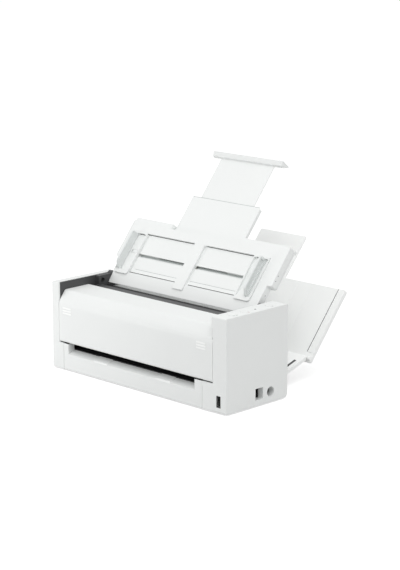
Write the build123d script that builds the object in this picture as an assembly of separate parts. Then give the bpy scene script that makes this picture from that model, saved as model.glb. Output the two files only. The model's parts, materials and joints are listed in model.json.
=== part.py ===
from build123d import *
import math
import os

# Compact document scanner with a folding feed tray, a hinged front cover and a pull-out rear stacker.
# X runs from the left side to the control side, Y from the front to the back, Z up.
# It stands on Z = 0 and is drawn as it is used: tray and stacker open, extensions out.

# Case
case_width = 298.3
case_depth = 104.0
case_height = 114.0
foot_height = 1.6
skin = 2.4                  # wall of the white covers
fit = 0.3                   # gap between covers that meet
left_wall = 12.0            # thickness of the left side, cover and frame together
left_top = 110.3            # the closed tray cover lies over the left wall
right_wall = 23.3           # the control side is a box that holds the gears
rear_recess = 5.6           # the folded stacker lies in this step of the back
rear_top = 94.2             # the tray's toe swings over the rear cover
side_round = 5.0
frame_plate = 1.4           # side frames: a plate behind each side cover
frame_block = 6.9           # and a block on it that carries the hinge and the shafts
block_front = 48.0
block_step = 62.0
block_step_height = 92.0
ear_radius = 5.4            # round the tray's hinge pin
floor_thick = 1.6
deck_bottom = 15.9          # the stacker's base plate slides between the floor and this deck
deck_thick = 1.4
deck_front = 10.0
screw_radius = 1.5
screw_head = 2.8
screw_length = 9.0
foot_radius = 5.0

# Front
cover_left = 12.5
cover_right = case_width - 21.9
cover_bottom = 35.7
cover_gap = 1.0             # under the cover, to let it turn
seam = 0.5                  # between the front panel and the sides
cover_knee = 87.0
cover_top = 100.4
cover_slope = 10.5
cover_rear = 50.0
cover_skin = 2.4
cover_pivot = 3.0           # hinge axis behind the front face and above the lower edge
cover_pin = 1.5
grip_bar_width = 14.6
grip_bar_height = 1.5
grip_bar_pitch = 3.3
grip_bar_proud = 0.35
grip_bar_low = 72.4
grip_bar_places = (26.9, case_width - 40.4)
panel_left = 20.0
panel_right = case_width - 38.2
slot_left = 28.6
slot_right = case_width - 50.6
slot_lip = 22.0
slot_ramp = 4.0
slot_depth = 10.0
pad_width = 24.0

# Paper
paper_centre = (case_width - right_wall - 1.0) / 2     # from the left face
path_width = 224.0
pad_places = (paper_centre - 49.9, paper_centre + 58.8)
guide_plate = 1.2
feed_front = ((66.0, 98.4), (63.4, 88.0), (56.6, 73.2), (55.0, 66.0), (55.0, 41.0))
feed_rear = ((75.0, 97.2), (66.2, 87.3), (59.2, 73.0), (57.6, 66.0), (57.6, 59.2))
exit_turn = 35.0            # rise of the way out at the back
exit_turn_gap = 1.6
exit_low = 42.0
exit_high = 48.3
rib_thick = 2.0
sensor_low = 46.5
sensor_high = 58.1
sensor_glass = 1.0

# Feed tray, drawn flat: X across, Y along the paper, Z out of the paper face
tray_tilt = 50.8
tray_length = 93.6
tray_thick = 11.4
tray_cover_thick = 2.9
tray_joint = 0.1            # between the tray and the cover on its back
tray_left = 12.5
tray_right = case_width - right_wall - 0.5
neck_left = 19.2
neck_right = case_width - 30.5
neck_length = 39.4
neck_thick = 9.4
hinge_s = 11.4              # hinge axis, up the tray from its toe
hinge_t = -4.5              # and below the paper face
hinge_from_front = 86.4
pin_radius = 3.0
pin_play = 0.05
lip_depth = 3.5
recess_left = paper_centre - 116.9
recess_right = paper_centre + 116.9
recess_low = 17.8
recess_high = 74.3
recess_depth = 2.4
recess_floor = 1.5
edge_slot = 0.9             # gap along the recess's upper and lower edge
edge_slot_depth = 6.0
edge_channel = 1.4          # the gap widens by this on both sides under the floor
recess_corner = 3.5         # the right half's corner beside the rib
apron_drop = 2.2
toe_edge = 0.9              # the toe is undercut from this thickness
toe_undercut = 6.0
rib_ramp_low = 6.9
rib_ramp_high = 14.0
rib_width = 17.0
rib_proud = 1.0
rack_slot_width = 4.6
rack_slot_floor = 7.4       # behind the paper face
side_holes = ((55.0, -3.2), (48.0, -3.3))      # in the tray's ends, up and out
neck_hole = (28.2, -5.5)
side_hole_radius = 0.7
side_hole_depth = 2.5
slide_play = 0.2

# Side guides
guide_outer = paper_centre - 116.6     # rest place of the left guide's outer side
guide_width = 25.0
guide_low = 14.4
guide_high = 74.0
guide_proud = 1.6
fence_thick = 2.6
fence_height = 11.6
fence_low = 19.6
fence_high = 71.4
fence_axis_x = paper_centre - 108.2    # the fence's inner face at rest, where it folds
fence_axis_t = -0.9
fence_pin = 0.6
fence_pin_length = 1.2
stem_from = paper_centre - 99.0
stem_to = paper_centre - 93.0
rack_front = 4.1            # behind the paper face
rack_thick = 1.6
rack_bar = 3.8
rack_end = paper_centre + 9.0
pinion_teeth = 16
pinion_s = 44.0

# Extensions of the tray
middle_width = 115.6
middle_thick = 2.4
middle_front = 5.9          # behind the paper face
middle_skin = 1.0
middle_top = 139.7
middle_low = 80.0
middle_stowed = 88.6
middle_rail_low = 91.4
middle_rail_deep = 4.5      # the two outer rails reach into grooves in the tray's cover
upper_stow = 57.2
upper_width = 90.4
upper_thick = 1.2
upper_low = 126.0
stop_low = 198.2
stop_height = 7.1
stop_depth = 16.0
stop_lip = (0.8, 2.4)       # lower edge of the front face, above stop_low and behind stop_front
stop_heel = 6.4             # lowest edge, behind stop_front
stop_grip = 3.3             # the sheet reaches this far into the stop
stop_front = -2.0
notch_floor = 86.4

# Rear stacker: a base plate that slides in under the case, a panel hinged to it and a sliding sheet
stacker_left = 0.6
stacker_right = case_width - 23.6
stacker_tilt = 17.8         # of the base plate, pulled out
base_thick = 4.0
slider_radius = 1.2
shoe_half = 3.5
rail_low = 8.1
rail_thick = 1.2
base_length = 81.4          # from its front pivot to the panel's axis
base_slot = (52.0, 68.0)    # through slot near the right edge
base_slot_x = case_width - 36.3
base_pivot_rest = 94.0      # behind the front face, pulled out
base_pivot_height = 5.6
ear_left = 3.0              # from the left face; the base plate ends inside the ears
ear_right = case_width - 24.0
ear_width = 4.0
ear_gap = 0.4
ear_pin = 1.2
ear_pin_length = 6.0
panel_recess = 1.2
panel_rim = 8.5             # raised border at both sides of the panel's paper face
panel_rim_proud = 0.7
panel_lines = (85.4, 62.0)  # shallow grooves this far each side of the paper's middle
panel_tilt = 49.8
panel_heel = 3.6            # the panel's lower end past its axis
panel_length = 98.2
panel_thick = 4.6
panel_behind = 2.3          # from the axis to the paper side of the panel
sheet_width = 78.5
sheet_middle = paper_centre - 2.05
sheet_thick = 1.6
sheet_behind = 3.4
sheet_out = 62.4
sheet_length = 88.0

# Drive, all gears of module 1 in one plane behind the control side
gear_x = case_width - 20.5  # from the left face
gear_width = 5.0
tooth = 1.0                 # module
pressure = 25.0
tooth_tip = 0.8
tooth_foot = 1.05
backlash = 0.16
feed_teeth = 14
motor_teeth = 10
rear_teeth = 12
low_teeth = 18
shaft_radius = 3.0
shaft_play = 0.05
bush_radius = 4.5
bush_flange = 5.5
flange_thick = 0.5
stub_radius = 2.0
idler_pin = 1.2
roller_offset = 50.0        # rollers lie this far each side of the paper's middle
roller_width = 14.0
feed_hub_width = 39.0
motor_radius = 11.2
motor_length = 26.0
motor_angle = -49.0         # from the gear it drives
feed_axis = (72.25, 81.0)
conveyor_axis = (62.5, 66.0)
exit_axis = (65.5, 36.0)
eject_axis = (83.3, 45.4)
feed_radius = 10.0
conveyor_radius = 6.3
exit_radius = 9.0
eject_radius = 6.3
separation_radius = 5.5
separation_width = 32.0
conveyor_idler_radius = 5.0
exit_idler_radius = 4.0
eject_idler_radius = 4.5
paper_gap = 0.3

# Controls and sockets
button_radius = 4.6
button_travel = 0.7
button_gap = 0.25
button_y = {"scan_button": 20.5, "stop_button": 41.0, "power_button": 82.4}
control_x = case_width - 10.9          # from the left face
control_half = 7.5
control_from = 8.0
control_to = 96.0
led_y = 58.4
led_x = case_width - 10.1
led_radius = 1.2
panel_thickness = 2.0
well_floor = 2.4
board_thick = 1.6
control_board_level = 104.0
main_board_level = 5.0
usb_a_place = (case_width - 12.45, 15.5)      # across and up, on the front
usb_b_place = (55.5, 15.5)          # back and up, on the control side
jack_place = (74.9, 14.3)
usb_a_half = (2.65, 6.3)    # half sizes of the openings
usb_b_half = (6.5, 7.0)
jack_opening = 6.0
pocket_depth = 8.2          # the sockets of the control side lie this deep
pocket_wall = 1.2
board_left = case_width - 21.1
board_right = case_width - 3.0
board_post_x = (case_width - 18.9, case_width - 5.1)
board_post_y = (22.0, 90.0)
foot_x = (16.0, case_width - 14.3)
foot_y = (14.0, 86.0)

# Places in the scanner's own frame
left_x = -case_width / 2
right_x = case_width / 2
base_reach = base_pivot_rest + base_length * math.cos(math.radians(stacker_tilt))
overall_depth = (base_reach + (panel_length + sheet_out) * math.cos(math.radians(panel_tilt))
                 + (sheet_behind + sheet_thick) * math.sin(math.radians(panel_tilt)))
stacker_travel = base_pivot_rest + base_length - (case_depth - panel_thick - panel_behind)
front_y = -overall_depth / 2
back_y = front_y + case_depth
rear_y = back_y - rear_recess
paper_x = left_x + paper_centre
side_frame_left = left_x + left_wall
side_frame_right = right_x - right_wall
hinge_y = front_y + hinge_from_front
hinge_z = case_height - tray_thick - hinge_t
cover_axis = (front_y + cover_pivot, cover_bottom + cover_pivot)
deck_top = deck_bottom + deck_thick
stacker_clear = deck_top - 0.2
frame_top_left = left_top - 0.5
frame_top_right = case_height - panel_thickness - well_floor - 0.4
inner_reach = rear_y - skin - fit
rear_screws = [(x, z) for x in (side_frame_left + frame_block / 2, side_frame_right - frame_block / 2)
               for z in (30.0, 86.0)]
roller_middles = [paper_x - roller_offset, paper_x + roller_offset]


def bar(x0, x1, y0, y1, z0, z1):
    return Pos((x0 + x1) / 2, (y0 + y1) / 2, (z0 + z1) / 2) * Box(x1 - x0, y1 - y0, z1 - z0)


def side_profile(points, x0, x1, radii=None):
    """A shape drawn on the side view, corner by corner, and drawn out from x0 to x1."""
    outline = FilletPolyline(*points, radius=radii or [0] * len(points), close=True)
    return extrude(Plane.YZ.offset(x0) * make_face(outline), x1 - x0, dir=(1, 0, 0))


def front_profile(points, y0, y1, radii=None):
    """A shape drawn on the front view, X across and Z up, and drawn out from y0 to y1."""
    outline = FilletPolyline(*[(z, x) for x, z in points], radius=radii or [0] * len(points), close=True)
    return extrude(Plane.ZX.offset(y0) * make_face(outline), y1 - y0, dir=(0, 1, 0))


def flat_profile(points, z0, z1, radii=None):
    """A shape drawn from above and drawn up from z0 to z1."""
    outline = FilletPolyline(*points, radius=radii or [0] * len(points), close=True)
    return extrude(Plane.XY.offset(z0) * make_face(outline), z1 - z0, dir=(0, 0, 1))


def rod(x0, x1, y, z, radius):
    """A round bar along X."""
    return Pos((x0 + x1) / 2, y, z) * Rot(0, 90, 0) * Cylinder(radius, x1 - x0)


def post(x, y, z0, z1, radius):
    return Pos(x, y, (z0 + z1) / 2) * Cylinder(radius, z1 - z0)


def at_y(offset):
    return front_y + offset


def at_x(offset):
    return left_x + offset


def side_points(points):
    """Side view points measured from the front face, set in the scanner's frame."""
    return [(at_y(y), z) for y, z in points]


def turned(y, z, degrees):
    turn = math.radians(degrees)
    return y * math.cos(turn) - z * math.sin(turn), y * math.sin(turn) + z * math.cos(turn)


# The tray's frame: its toe line, with Y up the tray and Z out of the paper face
toe_offset = turned(hinge_s, hinge_t, tray_tilt)
tray_frame_place = Location((0, hinge_y - toe_offset[0], hinge_z - toe_offset[1]), (tray_tilt, 0, 0))

# The stacker's frames: the base plate on its front pivot, the panel on the base plate's rear edge
base_place = Location((0, front_y + base_pivot_rest, base_pivot_height), (stacker_tilt, 0, 0))
base_end = turned(base_length, 0, stacker_tilt)
panel_axis = (front_y + base_pivot_rest + base_end[0], base_pivot_height + base_end[1])
panel_place = Location((0, panel_axis[0], panel_axis[1]), (panel_tilt, 0, 0))


def slab(x0, x1, y0, y1, z0, z1, radius):
    """A plate with round corners, drawn from above."""
    return flat_profile([(x0, y0), (x1, y0), (x1, y1), (x0, y1)], z0, z1, [radius] * 4)


def spaced(axis, distance, degrees):
    """The axis that lies at this distance and angle from another, seen on the side view."""
    offset = turned(distance, 0, degrees)
    return axis[0] + offset[0], axis[1] + offset[1]


def meeting_axis(first, first_distance, second, second_distance, side):
    """The axis at these distances from two others, to the left of the way between them or to the right (-1)."""
    step_y = second[0] - first[0]
    step_z = second[1] - first[1]
    apart = math.hypot(step_y, step_z)
    along = (first_distance ** 2 - second_distance ** 2 + apart ** 2) / (2 * apart)
    off = side * math.sqrt(first_distance ** 2 - along ** 2)
    return (first[0] + (along * step_y - off * step_z) / apart,
            first[1] + (along * step_z + off * step_y) / apart)


def centre_distance(teeth, other_teeth):
    return tooth * (teeth + other_teeth) / 2


def side_axis(place):
    return at_y(place[0]), place[1]


# Axes of the drive and of the rollers that press on it
feed_at = side_axis(feed_axis)
conveyor_at = side_axis(conveyor_axis)
exit_at = side_axis(exit_axis)
eject_at = side_axis(eject_axis)
high_at = meeting_axis(conveyor_at, centre_distance(feed_teeth, rear_teeth),
                       feed_at, centre_distance(feed_teeth, rear_teeth), -1)
low_at = meeting_axis(exit_at, centre_distance(feed_teeth, low_teeth),
                      conveyor_at, centre_distance(feed_teeth, low_teeth), 1)
rear_at = meeting_axis(exit_at, centre_distance(feed_teeth, rear_teeth),
                       eject_at, centre_distance(rear_teeth, rear_teeth), -1)
motor_at = spaced(high_at, centre_distance(rear_teeth, motor_teeth), motor_angle)
separation_at = spaced(feed_at, feed_radius + separation_radius + paper_gap, 140.8)
conveyor_idler_at = spaced(conveyor_at, conveyor_radius + conveyor_idler_radius + paper_gap, 180)
exit_idler_at = spaced(exit_at, exit_radius + exit_idler_radius + paper_gap, -90)
eject_idler_at = spaced(eject_at, eject_radius + eject_idler_radius + paper_gap, exit_turn - 90)


def mesh_turn(first, first_teeth, first_turn, second, second_teeth):
    """The turn, in radians, that sets a gear's gap on the tooth of the gear that drives it."""
    towards = math.atan2(second[1] - first[1], second[0] - first[0])
    return towards + math.pi - (first_turn - towards) * first_teeth / second_teeth + math.pi / second_teeth


motor_turn = 0.0
high_turn = mesh_turn(motor_at, motor_teeth, motor_turn, high_at, rear_teeth)
feed_turn = mesh_turn(high_at, rear_teeth, high_turn, feed_at, feed_teeth)
conveyor_turn = mesh_turn(high_at, rear_teeth, high_turn, conveyor_at, feed_teeth)
low_turn = mesh_turn(conveyor_at, feed_teeth, conveyor_turn, low_at, low_teeth)
exit_turn_angle = mesh_turn(low_at, low_teeth, low_turn, exit_at, feed_teeth)
rear_turn = mesh_turn(exit_at, feed_teeth, exit_turn_angle, rear_at, rear_teeth)
eject_turn = mesh_turn(rear_at, rear_teeth, rear_turn, eject_at, rear_teeth)


def gear_outline(teeth, turn):
    """Corners of a spur gear; each flank is an involute through its foot, pitch point and tip."""
    pitch_radius = tooth * teeth / 2
    base_radius = pitch_radius * math.cos(math.radians(pressure))
    half_pitch = (math.pi * tooth / 2 - backlash) / (2 * pitch_radius)

    def half_angle(radius):
        slope = math.acos(min(1, base_radius / radius))
        start = math.radians(pressure)
        return half_pitch + math.tan(start) - start - math.tan(slope) + slope

    radii = (pitch_radius - tooth_foot, pitch_radius, pitch_radius + tooth_tip)
    flank = [(radius, half_angle(radius)) for radius in radii]
    corners = []
    for number in range(teeth):
        middle = turn + number * 2 * math.pi / teeth
        around = [(radius, middle - half) for radius, half in flank]
        around += [(radius, middle + half) for radius, half in reversed(flank)]
        corners += [(radius * math.cos(angle), radius * math.sin(angle)) for radius, angle in around]
    return corners


def side_gear(place, teeth, turn, bore=0.0):
    """A gear of the drive, in its place behind the control side."""
    corners = [(place[0] + y, place[1] + z) for y, z in gear_outline(teeth, turn)]
    face = make_face(Polyline(*corners, close=True))
    gear = extrude(Plane.YZ.offset(at_x(gear_x)) * face, gear_width, dir=(1, 0, 0))
    if bore:
        gear -= rod(at_x(gear_x) - 1, at_x(gear_x) + gear_width + 1, *place, bore)
    return gear


def left_side_cover():
    """White shell of the left side, open towards the inside."""
    side = side_profile(side_points([(0, foot_height), (case_depth - rear_recess, foot_height),
                                     (case_depth - rear_recess, left_top), (0, left_top)]),
                        left_x, side_frame_left, [1.5, side_round, 2.5, 1.5])
    inner = front_y + skin
    room = bar(left_x + skin, side_frame_left + 1, inner, rear_y - skin, 0, left_top - skin)
    frame_edge = bar(side_frame_left - frame_plate - 0.1, side_frame_left + 1, inner, rear_y - skin, 0, left_top + 1)
    stacker_way = bar(left_x + skin, side_frame_left + 1, rear_y - skin - 1, rear_y + 1, 0, stacker_clear)
    corner = bar(left_x + 1, at_x(panel_left) - seam / 2, front_y, inner, foot_height, cover_bottom - cover_gap)
    boss = rod(side_frame_left - 3.0, side_frame_left, *cover_axis, cover_pivot)
    bore = rod(side_frame_left - 2.6, side_frame_left + 1, *cover_axis, cover_pin + pin_play)
    return side - room - frame_edge - stacker_way + corner + boss - bore


def right_side_cover():
    """White shell of the control side, with the socket openings and the well for the control panel."""
    outline = side_points([(0, foot_height), (case_depth, foot_height), (case_depth, case_height), (0, case_height)])
    side = side_profile(outline, side_frame_right, right_x, [1.5, side_round, 2.5, 1.5])
    inner = front_y + skin
    well_bottom = case_height - panel_thickness
    room = bar(side_frame_right - 1, right_x - skin, inner, back_y - skin, 0, well_bottom - well_floor)
    front_step = bar(side_frame_right - 1, at_x(cover_right) + seam, front_y - 1, inner + 0.01,
                     cover_bottom - cover_gap, cover_top + 0.6)
    corner = bar(at_x(panel_right) + seam / 2, side_frame_right + 1, front_y, inner,
                 foot_height, cover_bottom - cover_gap)
    back_return = bar(side_frame_right, side_frame_right + skin, inner_reach + 0.2, back_y - 1,
                      foot_height + floor_thick + fit, well_bottom)
    middle = at_x(control_x)
    well = bar(middle - control_half, middle + control_half, at_y(control_from), at_y(control_to),
               well_bottom, case_height + 1)
    window = bar(middle - control_half + 2, middle + control_half - 2, at_y(control_from + 2), at_y(control_to - 2),
                 well_bottom - well_floor - 1, case_height)
    usb_a = bar(at_x(usb_a_place[0]) - usb_a_half[0], at_x(usb_a_place[0]) + usb_a_half[0], front_y - 1, inner + 1,
                usb_a_place[1] - usb_a_half[1], usb_a_place[1] + usb_a_half[1])
    usb_b = usb_b_block(right_x - skin - 1, right_x + 1, 0)
    jack = rod(right_x - skin - 1, right_x + 1, at_y(jack_place[0]), jack_place[1], jack_opening)
    boss = rod(at_x(cover_right) + fit, at_x(cover_right) + 3.4, *cover_axis, cover_pivot)
    bore = rod(side_frame_right - 1, at_x(cover_right) + 2.6, *cover_axis, cover_pin + pin_play)
    cover = side - room - front_step - well - window - usb_a - usb_b - jack + corner + back_return + boss - bore
    for x in (middle - control_half + 0.6, middle + control_half - 0.6):
        for y in (control_from + 5, control_to - 5):
            cover += post(x, at_y(y), control_board_level + board_thick, well_bottom - well_floor + 0.5, 1.5)
    return cover


def usb_b_block(x0, x1, wall):
    y, z = at_y(usb_b_place[0]), usb_b_place[1]
    half_y, half_z = usb_b_half[0] + wall, usb_b_half[1] + wall
    return bar(x0, x1, y - half_y, y + half_y, z - half_z, z + half_z)


def socket_collars():
    """Walls of the two pockets in the control side, at whose bottoms the sockets lie."""
    x0, x1 = right_x - pocket_depth, right_x - skin
    y, z = at_y(jack_place[0]), jack_place[1]
    square = usb_b_block(x0, x1, pocket_wall) - usb_b_block(x0 - 1, x1 + 1, 0)
    ring = rod(x0, x1, y, z, jack_opening + pocket_wall) - rod(x0 - 1, x1 + 1, y, z, jack_opening)
    return [square, ring]


def lower_front_panel():
    """Front panel under the cover, with the straight path's slot, its ramp and two low pads."""
    left, right = at_x(panel_left) + seam / 2, at_x(panel_right) - seam / 2
    section = side_points([(0, foot_height), (skin, foot_height), (skin, slot_lip - 3.4),
                           (slot_depth, slot_lip + slot_ramp - 2.0), (slot_depth, slot_lip + slot_ramp),
                           (1.2, slot_lip + 0.2), (0, slot_lip - 0.8)])
    panel = side_profile(section, left, right, [1.0, 0, 3, 0, 0, 0, 0])
    for x0, x1 in ((left, at_x(slot_left)), (at_x(slot_right), right)):
        panel += bar(x0, x1, front_y, front_y + skin, slot_lip - 2, cover_bottom - cover_gap)
    for x0 in (at_x(slot_left) - skin, at_x(slot_right)):
        panel += bar(x0, x0 + skin, front_y, front_y + slot_depth, slot_lip - 2, cover_bottom - cover_gap)
    for x in pad_places:
        pad = side_points([(0.2, slot_lip - 2.4), (-0.4, slot_lip - 1.6), (0.6, slot_lip + 1.0),
                           (slot_depth, slot_lip + slot_ramp + 0.7), (slot_depth, slot_lip + slot_ramp - 1.0)])
        panel += side_profile(pad, at_x(x) - pad_width / 2, at_x(x) + pad_width / 2)
    return panel


def rear_cover():
    """Back wall with the exit for the paper, over the opening that the stacker slides in through."""
    left, right = side_frame_left + fit, side_frame_right - fit
    wall = front_profile([(left, stacker_clear + fit), (right, stacker_clear + fit), (right, rear_top),
                          (left, rear_top)], rear_y - skin, rear_y, [1.0] * 4)
    shelf = bar(*guide_span(), at_y(82), rear_y - skin + 0.1, rear_top - 1.6, rear_top)
    rise = math.tan(math.radians(exit_turn))
    front = 80.0
    drop = (case_depth - rear_recess - skin - front) * rise
    roof = side_profile(side_points([(front, exit_high - drop), (case_depth - rear_recess - skin + 0.1, exit_high),
                                     (case_depth - rear_recess - skin + 0.1, exit_high + 1.6),
                                     (front, exit_high - drop + 1.6)]), *guide_span())
    roof = cut_windows(roof, roller_middles, roller_width + 2, 78, 92, exit_low - 8, exit_high + 4)
    half = path_width / 2
    exit_hole = front_profile([(paper_x - half, exit_low), (paper_x + half, exit_low),
                               (paper_x + half, exit_high), (paper_x - half, exit_high)],
                              rear_y - skin - 0.01, rear_y + 1, [2.0] * 4)
    cover = wall - exit_hole + shelf + roof
    for row in range(3):
        z = exit_high + 9.0 + row * 5.0
        for side in (-1, 1):
            x = paper_x + side * 76
            cover -= bar(x - 26, x + 26, rear_y - skin - 1, rear_y + 1, z, z + 1.6)
    for x, z in rear_screws:
        cover -= Pos(x, rear_y, z) * Rot(90, 0, 0) * Cylinder(screw_radius + 0.1, 12)
        cover -= Pos(x, rear_y, z) * Rot(90, 0, 0) * Cylinder(screw_head + 0.2, 3.0)
    return cover


def case_screws():
    """Four screws that hold the rear cover to the side frames."""
    screws = []
    for x, z in rear_screws:
        screw = Pos(x, rear_y - 0.1 - screw_length / 2, z) * Rot(90, 0, 0) * Cylinder(screw_radius, screw_length)
        screw += Pos(x, rear_y - 0.8, z) * Rot(90, 0, 0) * Cylinder(screw_head, 1.4)
        screw -= bar(x - 2.0, x + 2.0, rear_y - 0.8, rear_y + 1, z - 0.35, z + 0.35)
        screw -= bar(x - 0.35, x + 0.35, rear_y - 0.8, rear_y + 1, z - 2.0, z + 2.0)
        screws.append(screw)
    return screws


def side_frame(mirror):
    """Dark inner frame of one side: it closes the cover, carries the tray hinge and the roller shafts."""
    top = frame_top_left if mirror < 0 else frame_top_right
    face = side_frame_left if mirror < 0 else side_frame_right
    inner = face - mirror * frame_block
    low, high = sorted((face, face + mirror * frame_plate))
    frame = bar(low, high, front_y + skin + fit, inner_reach, deck_top, top)
    low, high = sorted((face, inner))
    frame += side_profile([(at_y(block_front), deck_top), (inner_reach, deck_top), (inner_reach, frame_top_left),
                           (at_y(block_step), frame_top_left), (at_y(block_step), block_step_height),
                           (at_y(block_front), block_step_height)], low, high, [0, 0, 0, 1.5, 0, 3.0])
    frame += rod(low, high, hinge_y, hinge_z, ear_radius)
    through = sorted((face + 3 * mirror, inner - mirror))
    frame -= rod(*sorted((face, inner - mirror)), hinge_y, hinge_z, pin_radius + pin_play)
    frame -= rod(*sorted((inner + mirror * 3.0, inner - mirror)), at_y(67.6), 103.5, 3.3)
    for axis in (feed_at, conveyor_at, exit_at, eject_at):
        frame -= rod(*through, *axis, bush_radius + 0.02)
    frame -= rod(*sorted((face, inner - mirror)), *eject_idler_at, idler_pin + shaft_play)
    frame -= rod(*sorted((face + 3 * mirror, face - mirror)), *cover_axis, cover_pivot + 0.2)
    for x, z in rear_screws:
        frame -= Pos(x, inner_reach, z) * Rot(90, 0, 0) * Cylinder(screw_radius + 0.02, 16)
    return frame


def left_side_frame():
    return side_frame(-1)


def right_side_frame():
    """The control side's frame also carries the motor and the stub axles of the idler gears."""
    frame = side_frame(1)
    frame -= rod(side_frame_right - frame_block - 1, side_frame_right + 3, *motor_at, 3.0)
    for place in (high_at, low_at, rear_at):
        frame += rod(side_frame_right + frame_plate - 0.1, at_x(gear_x) + gear_width + 0.8, *place, stub_radius)
    return frame


def shaft_bushes():
    """Flanged bushes for the four driven shafts, two to a shaft."""
    bushes = []
    for mirror, face in ((-1, side_frame_left), (1, side_frame_right)):
        inner = face - mirror * frame_block
        outer = face + mirror * frame_plate
        for axis in (feed_at, conveyor_at, exit_at, eject_at):
            bush = rod(*sorted((inner, outer)), *axis, bush_radius)
            bush += rod(*sorted((inner, inner - mirror * flange_thick)), *axis, bush_flange)
            bush -= rod(*sorted((outer + mirror, inner - 2 * mirror)), *axis, shaft_radius + shaft_play)
            bushes.append(bush)
    return bushes


def base_frame():
    """Floor and deck of the case, with the two tracks that the stacker's slider runs in."""
    floor_top = foot_height + floor_thick
    left, right = left_x + skin + fit, right_x - skin - fit
    front = front_y + skin + fit
    base = bar(left, side_frame_right, front, rear_y - fit, foot_height, floor_top)
    base += bar(side_frame_right, right, front, back_y - skin - fit, foot_height, floor_top)
    base += bar(side_frame_left - frame_plate, side_frame_right + frame_plate, at_y(deck_front), inner_reach,
                deck_bottom, deck_top)
    base += bar(left, side_frame_right + frame_plate, at_y(deck_front), at_y(deck_front) + 1.6,
                foot_height, deck_bottom + 0.1)
    track_end = at_y(94.5)
    base += bar(side_frame_right, side_frame_right + frame_plate, at_y(deck_front), track_end,
                foot_height, deck_bottom + 0.1)
    for web_out, web_in, flange_in in ((left, left + 1.0, left + 4.2),
                                       (side_frame_right, side_frame_right - 1.6, side_frame_right - 4.9)):
        base += bar(*sorted((web_out, web_in)), at_y(deck_front), track_end, foot_height, rail_low + rail_thick)
        base += bar(*sorted((web_out, flange_in)), at_y(deck_front), track_end, rail_low, rail_low + rail_thick)
    for x in roller_middles:
        for side in (-1, 1):
            lug = x + side * (roller_width / 2 + 2.0)
            base += bar(lug - 1.0, lug + 1.0, exit_idler_at[0] - 3.0, exit_idler_at[0] + 3.0, deck_top - 0.1,
                        exit_idler_at[1] + 2.4)
    base -= rod(paper_x - 80, paper_x + 80, *exit_idler_at, idler_pin + shaft_play)
    for x, y in board_posts():
        base += post(x, y, foot_height, main_board_level, 2.0)
    return base


def board_posts():
    return [(at_x(x), at_y(y)) for x in board_post_x for y in board_post_y]


def rubber_feet():
    return [post(at_x(x), at_y(y), 0, foot_height, foot_radius) for x in foot_x for y in foot_y]


def cut_windows(plate, middles, width, y0, y1, z0, z1):
    for x in middles:
        plate -= bar(x - width / 2, x + width / 2, at_y(y0), at_y(y1), z0, z1)
    return plate


def guide_span():
    """The guides reach from one side block to the other, clear of the bushes' flanges."""
    inset = frame_block + flange_thick + fit
    return side_frame_left + inset, side_frame_right - inset


def rear_paper_guide():
    """Rear half of the paper path, with windows for the feed and conveyor tyres and a flange under the tray's toe."""
    back = [(y + guide_plate, z - 0.2) for y, z in reversed(feed_rear)]
    guide = side_profile(side_points(list(feed_rear) + back), *guide_span())
    guide = cut_windows(guide, [paper_x], feed_hub_width + 1, 62, 90, 76, 95.5)
    guide = cut_windows(guide, roller_middles, roller_width + 2, 56, 70, 59.5, 73.5)
    flange = side_points([(74.6, 96.9), (81.6, 94.7), (81.6, 93.5), (75.4, 95.7)])
    return guide + side_profile(flange, *guide_span())


def exit_guide():
    """Floor of the straight way, the turn under the exit roller and the rise to the rear exit."""
    inner = exit_radius + exit_turn_gap
    outer = inner + guide_plate
    left, right = guide_span()
    turn = rod(left, right, *exit_at, outer) - rod(left - 1, right + 1, *exit_at, inner)
    sector = [(exit_at[0], exit_at[1]), spaced(exit_at, 3 * inner, 195), spaced(exit_at, 3 * inner, 245),
              spaced(exit_at, 3 * inner, exit_turn - 90)]
    turn &= side_profile(sector, left, right)
    bend = spaced(exit_at, inner, exit_turn - 90)
    bend_out = spaced(exit_at, outer, exit_turn - 90)
    rise = math.tan(math.radians(exit_turn))
    end = inner_reach - 0.2
    ramp = side_profile([bend, bend_out, (end, bend_out[1] + (end - bend_out[0]) * rise),
                         (end, bend[1] + (end - bend[0]) * rise)], left, right)
    floor = side_profile(side_points([(slot_depth + fit, slot_lip + slot_ramp - 0.5), (54.0, 31.2), (54.4, 33.0),
                                      (slot_depth + fit, slot_lip + slot_ramp + 0.7)]), left, right)
    guide = turn + ramp + floor
    for x in roller_middles:
        guide -= bar(x - roller_width / 2 - 3.4, x + roller_width / 2 + 3.4, at_y(60.5), at_y(70.5), 20, 28)
        guide -= bar(x - roller_width / 2 - 1, x + roller_width / 2 + 1, at_y(84.5), at_y(94.5), 30, 46)
    return guide


def rear_sensor_bar():
    front = feed_rear[-1][0] + sensor_glass
    bar_end = 70.0
    points = [(front, sensor_low), (bar_end - 3, sensor_low), (bar_end, sensor_low + 3),
              (bar_end, sensor_high), (front, sensor_high)]
    return side_profile(side_points(points), *guide_span())


def sensor_glass_strip(y0):
    half = path_width / 2
    return bar(paper_x - half, paper_x + half, at_y(y0), at_y(y0) + sensor_glass, sensor_low + 0.6, sensor_high - 0.6)


def rear_sensor_glass():
    return sensor_glass_strip(feed_rear[-1][0])


def front_sensor_bar():
    end = feed_front[-1][0] - sensor_glass
    points = [(38.0, sensor_low + 3), (41.0, sensor_low), (end, sensor_low), (end, sensor_high), (38.0, sensor_high)]
    left, right = guide_span()
    return side_profile(side_points(points), left + 1.0, right - 1.0)


def front_sensor_glass():
    return sensor_glass_strip(feed_front[-1][0] - sensor_glass)


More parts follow.
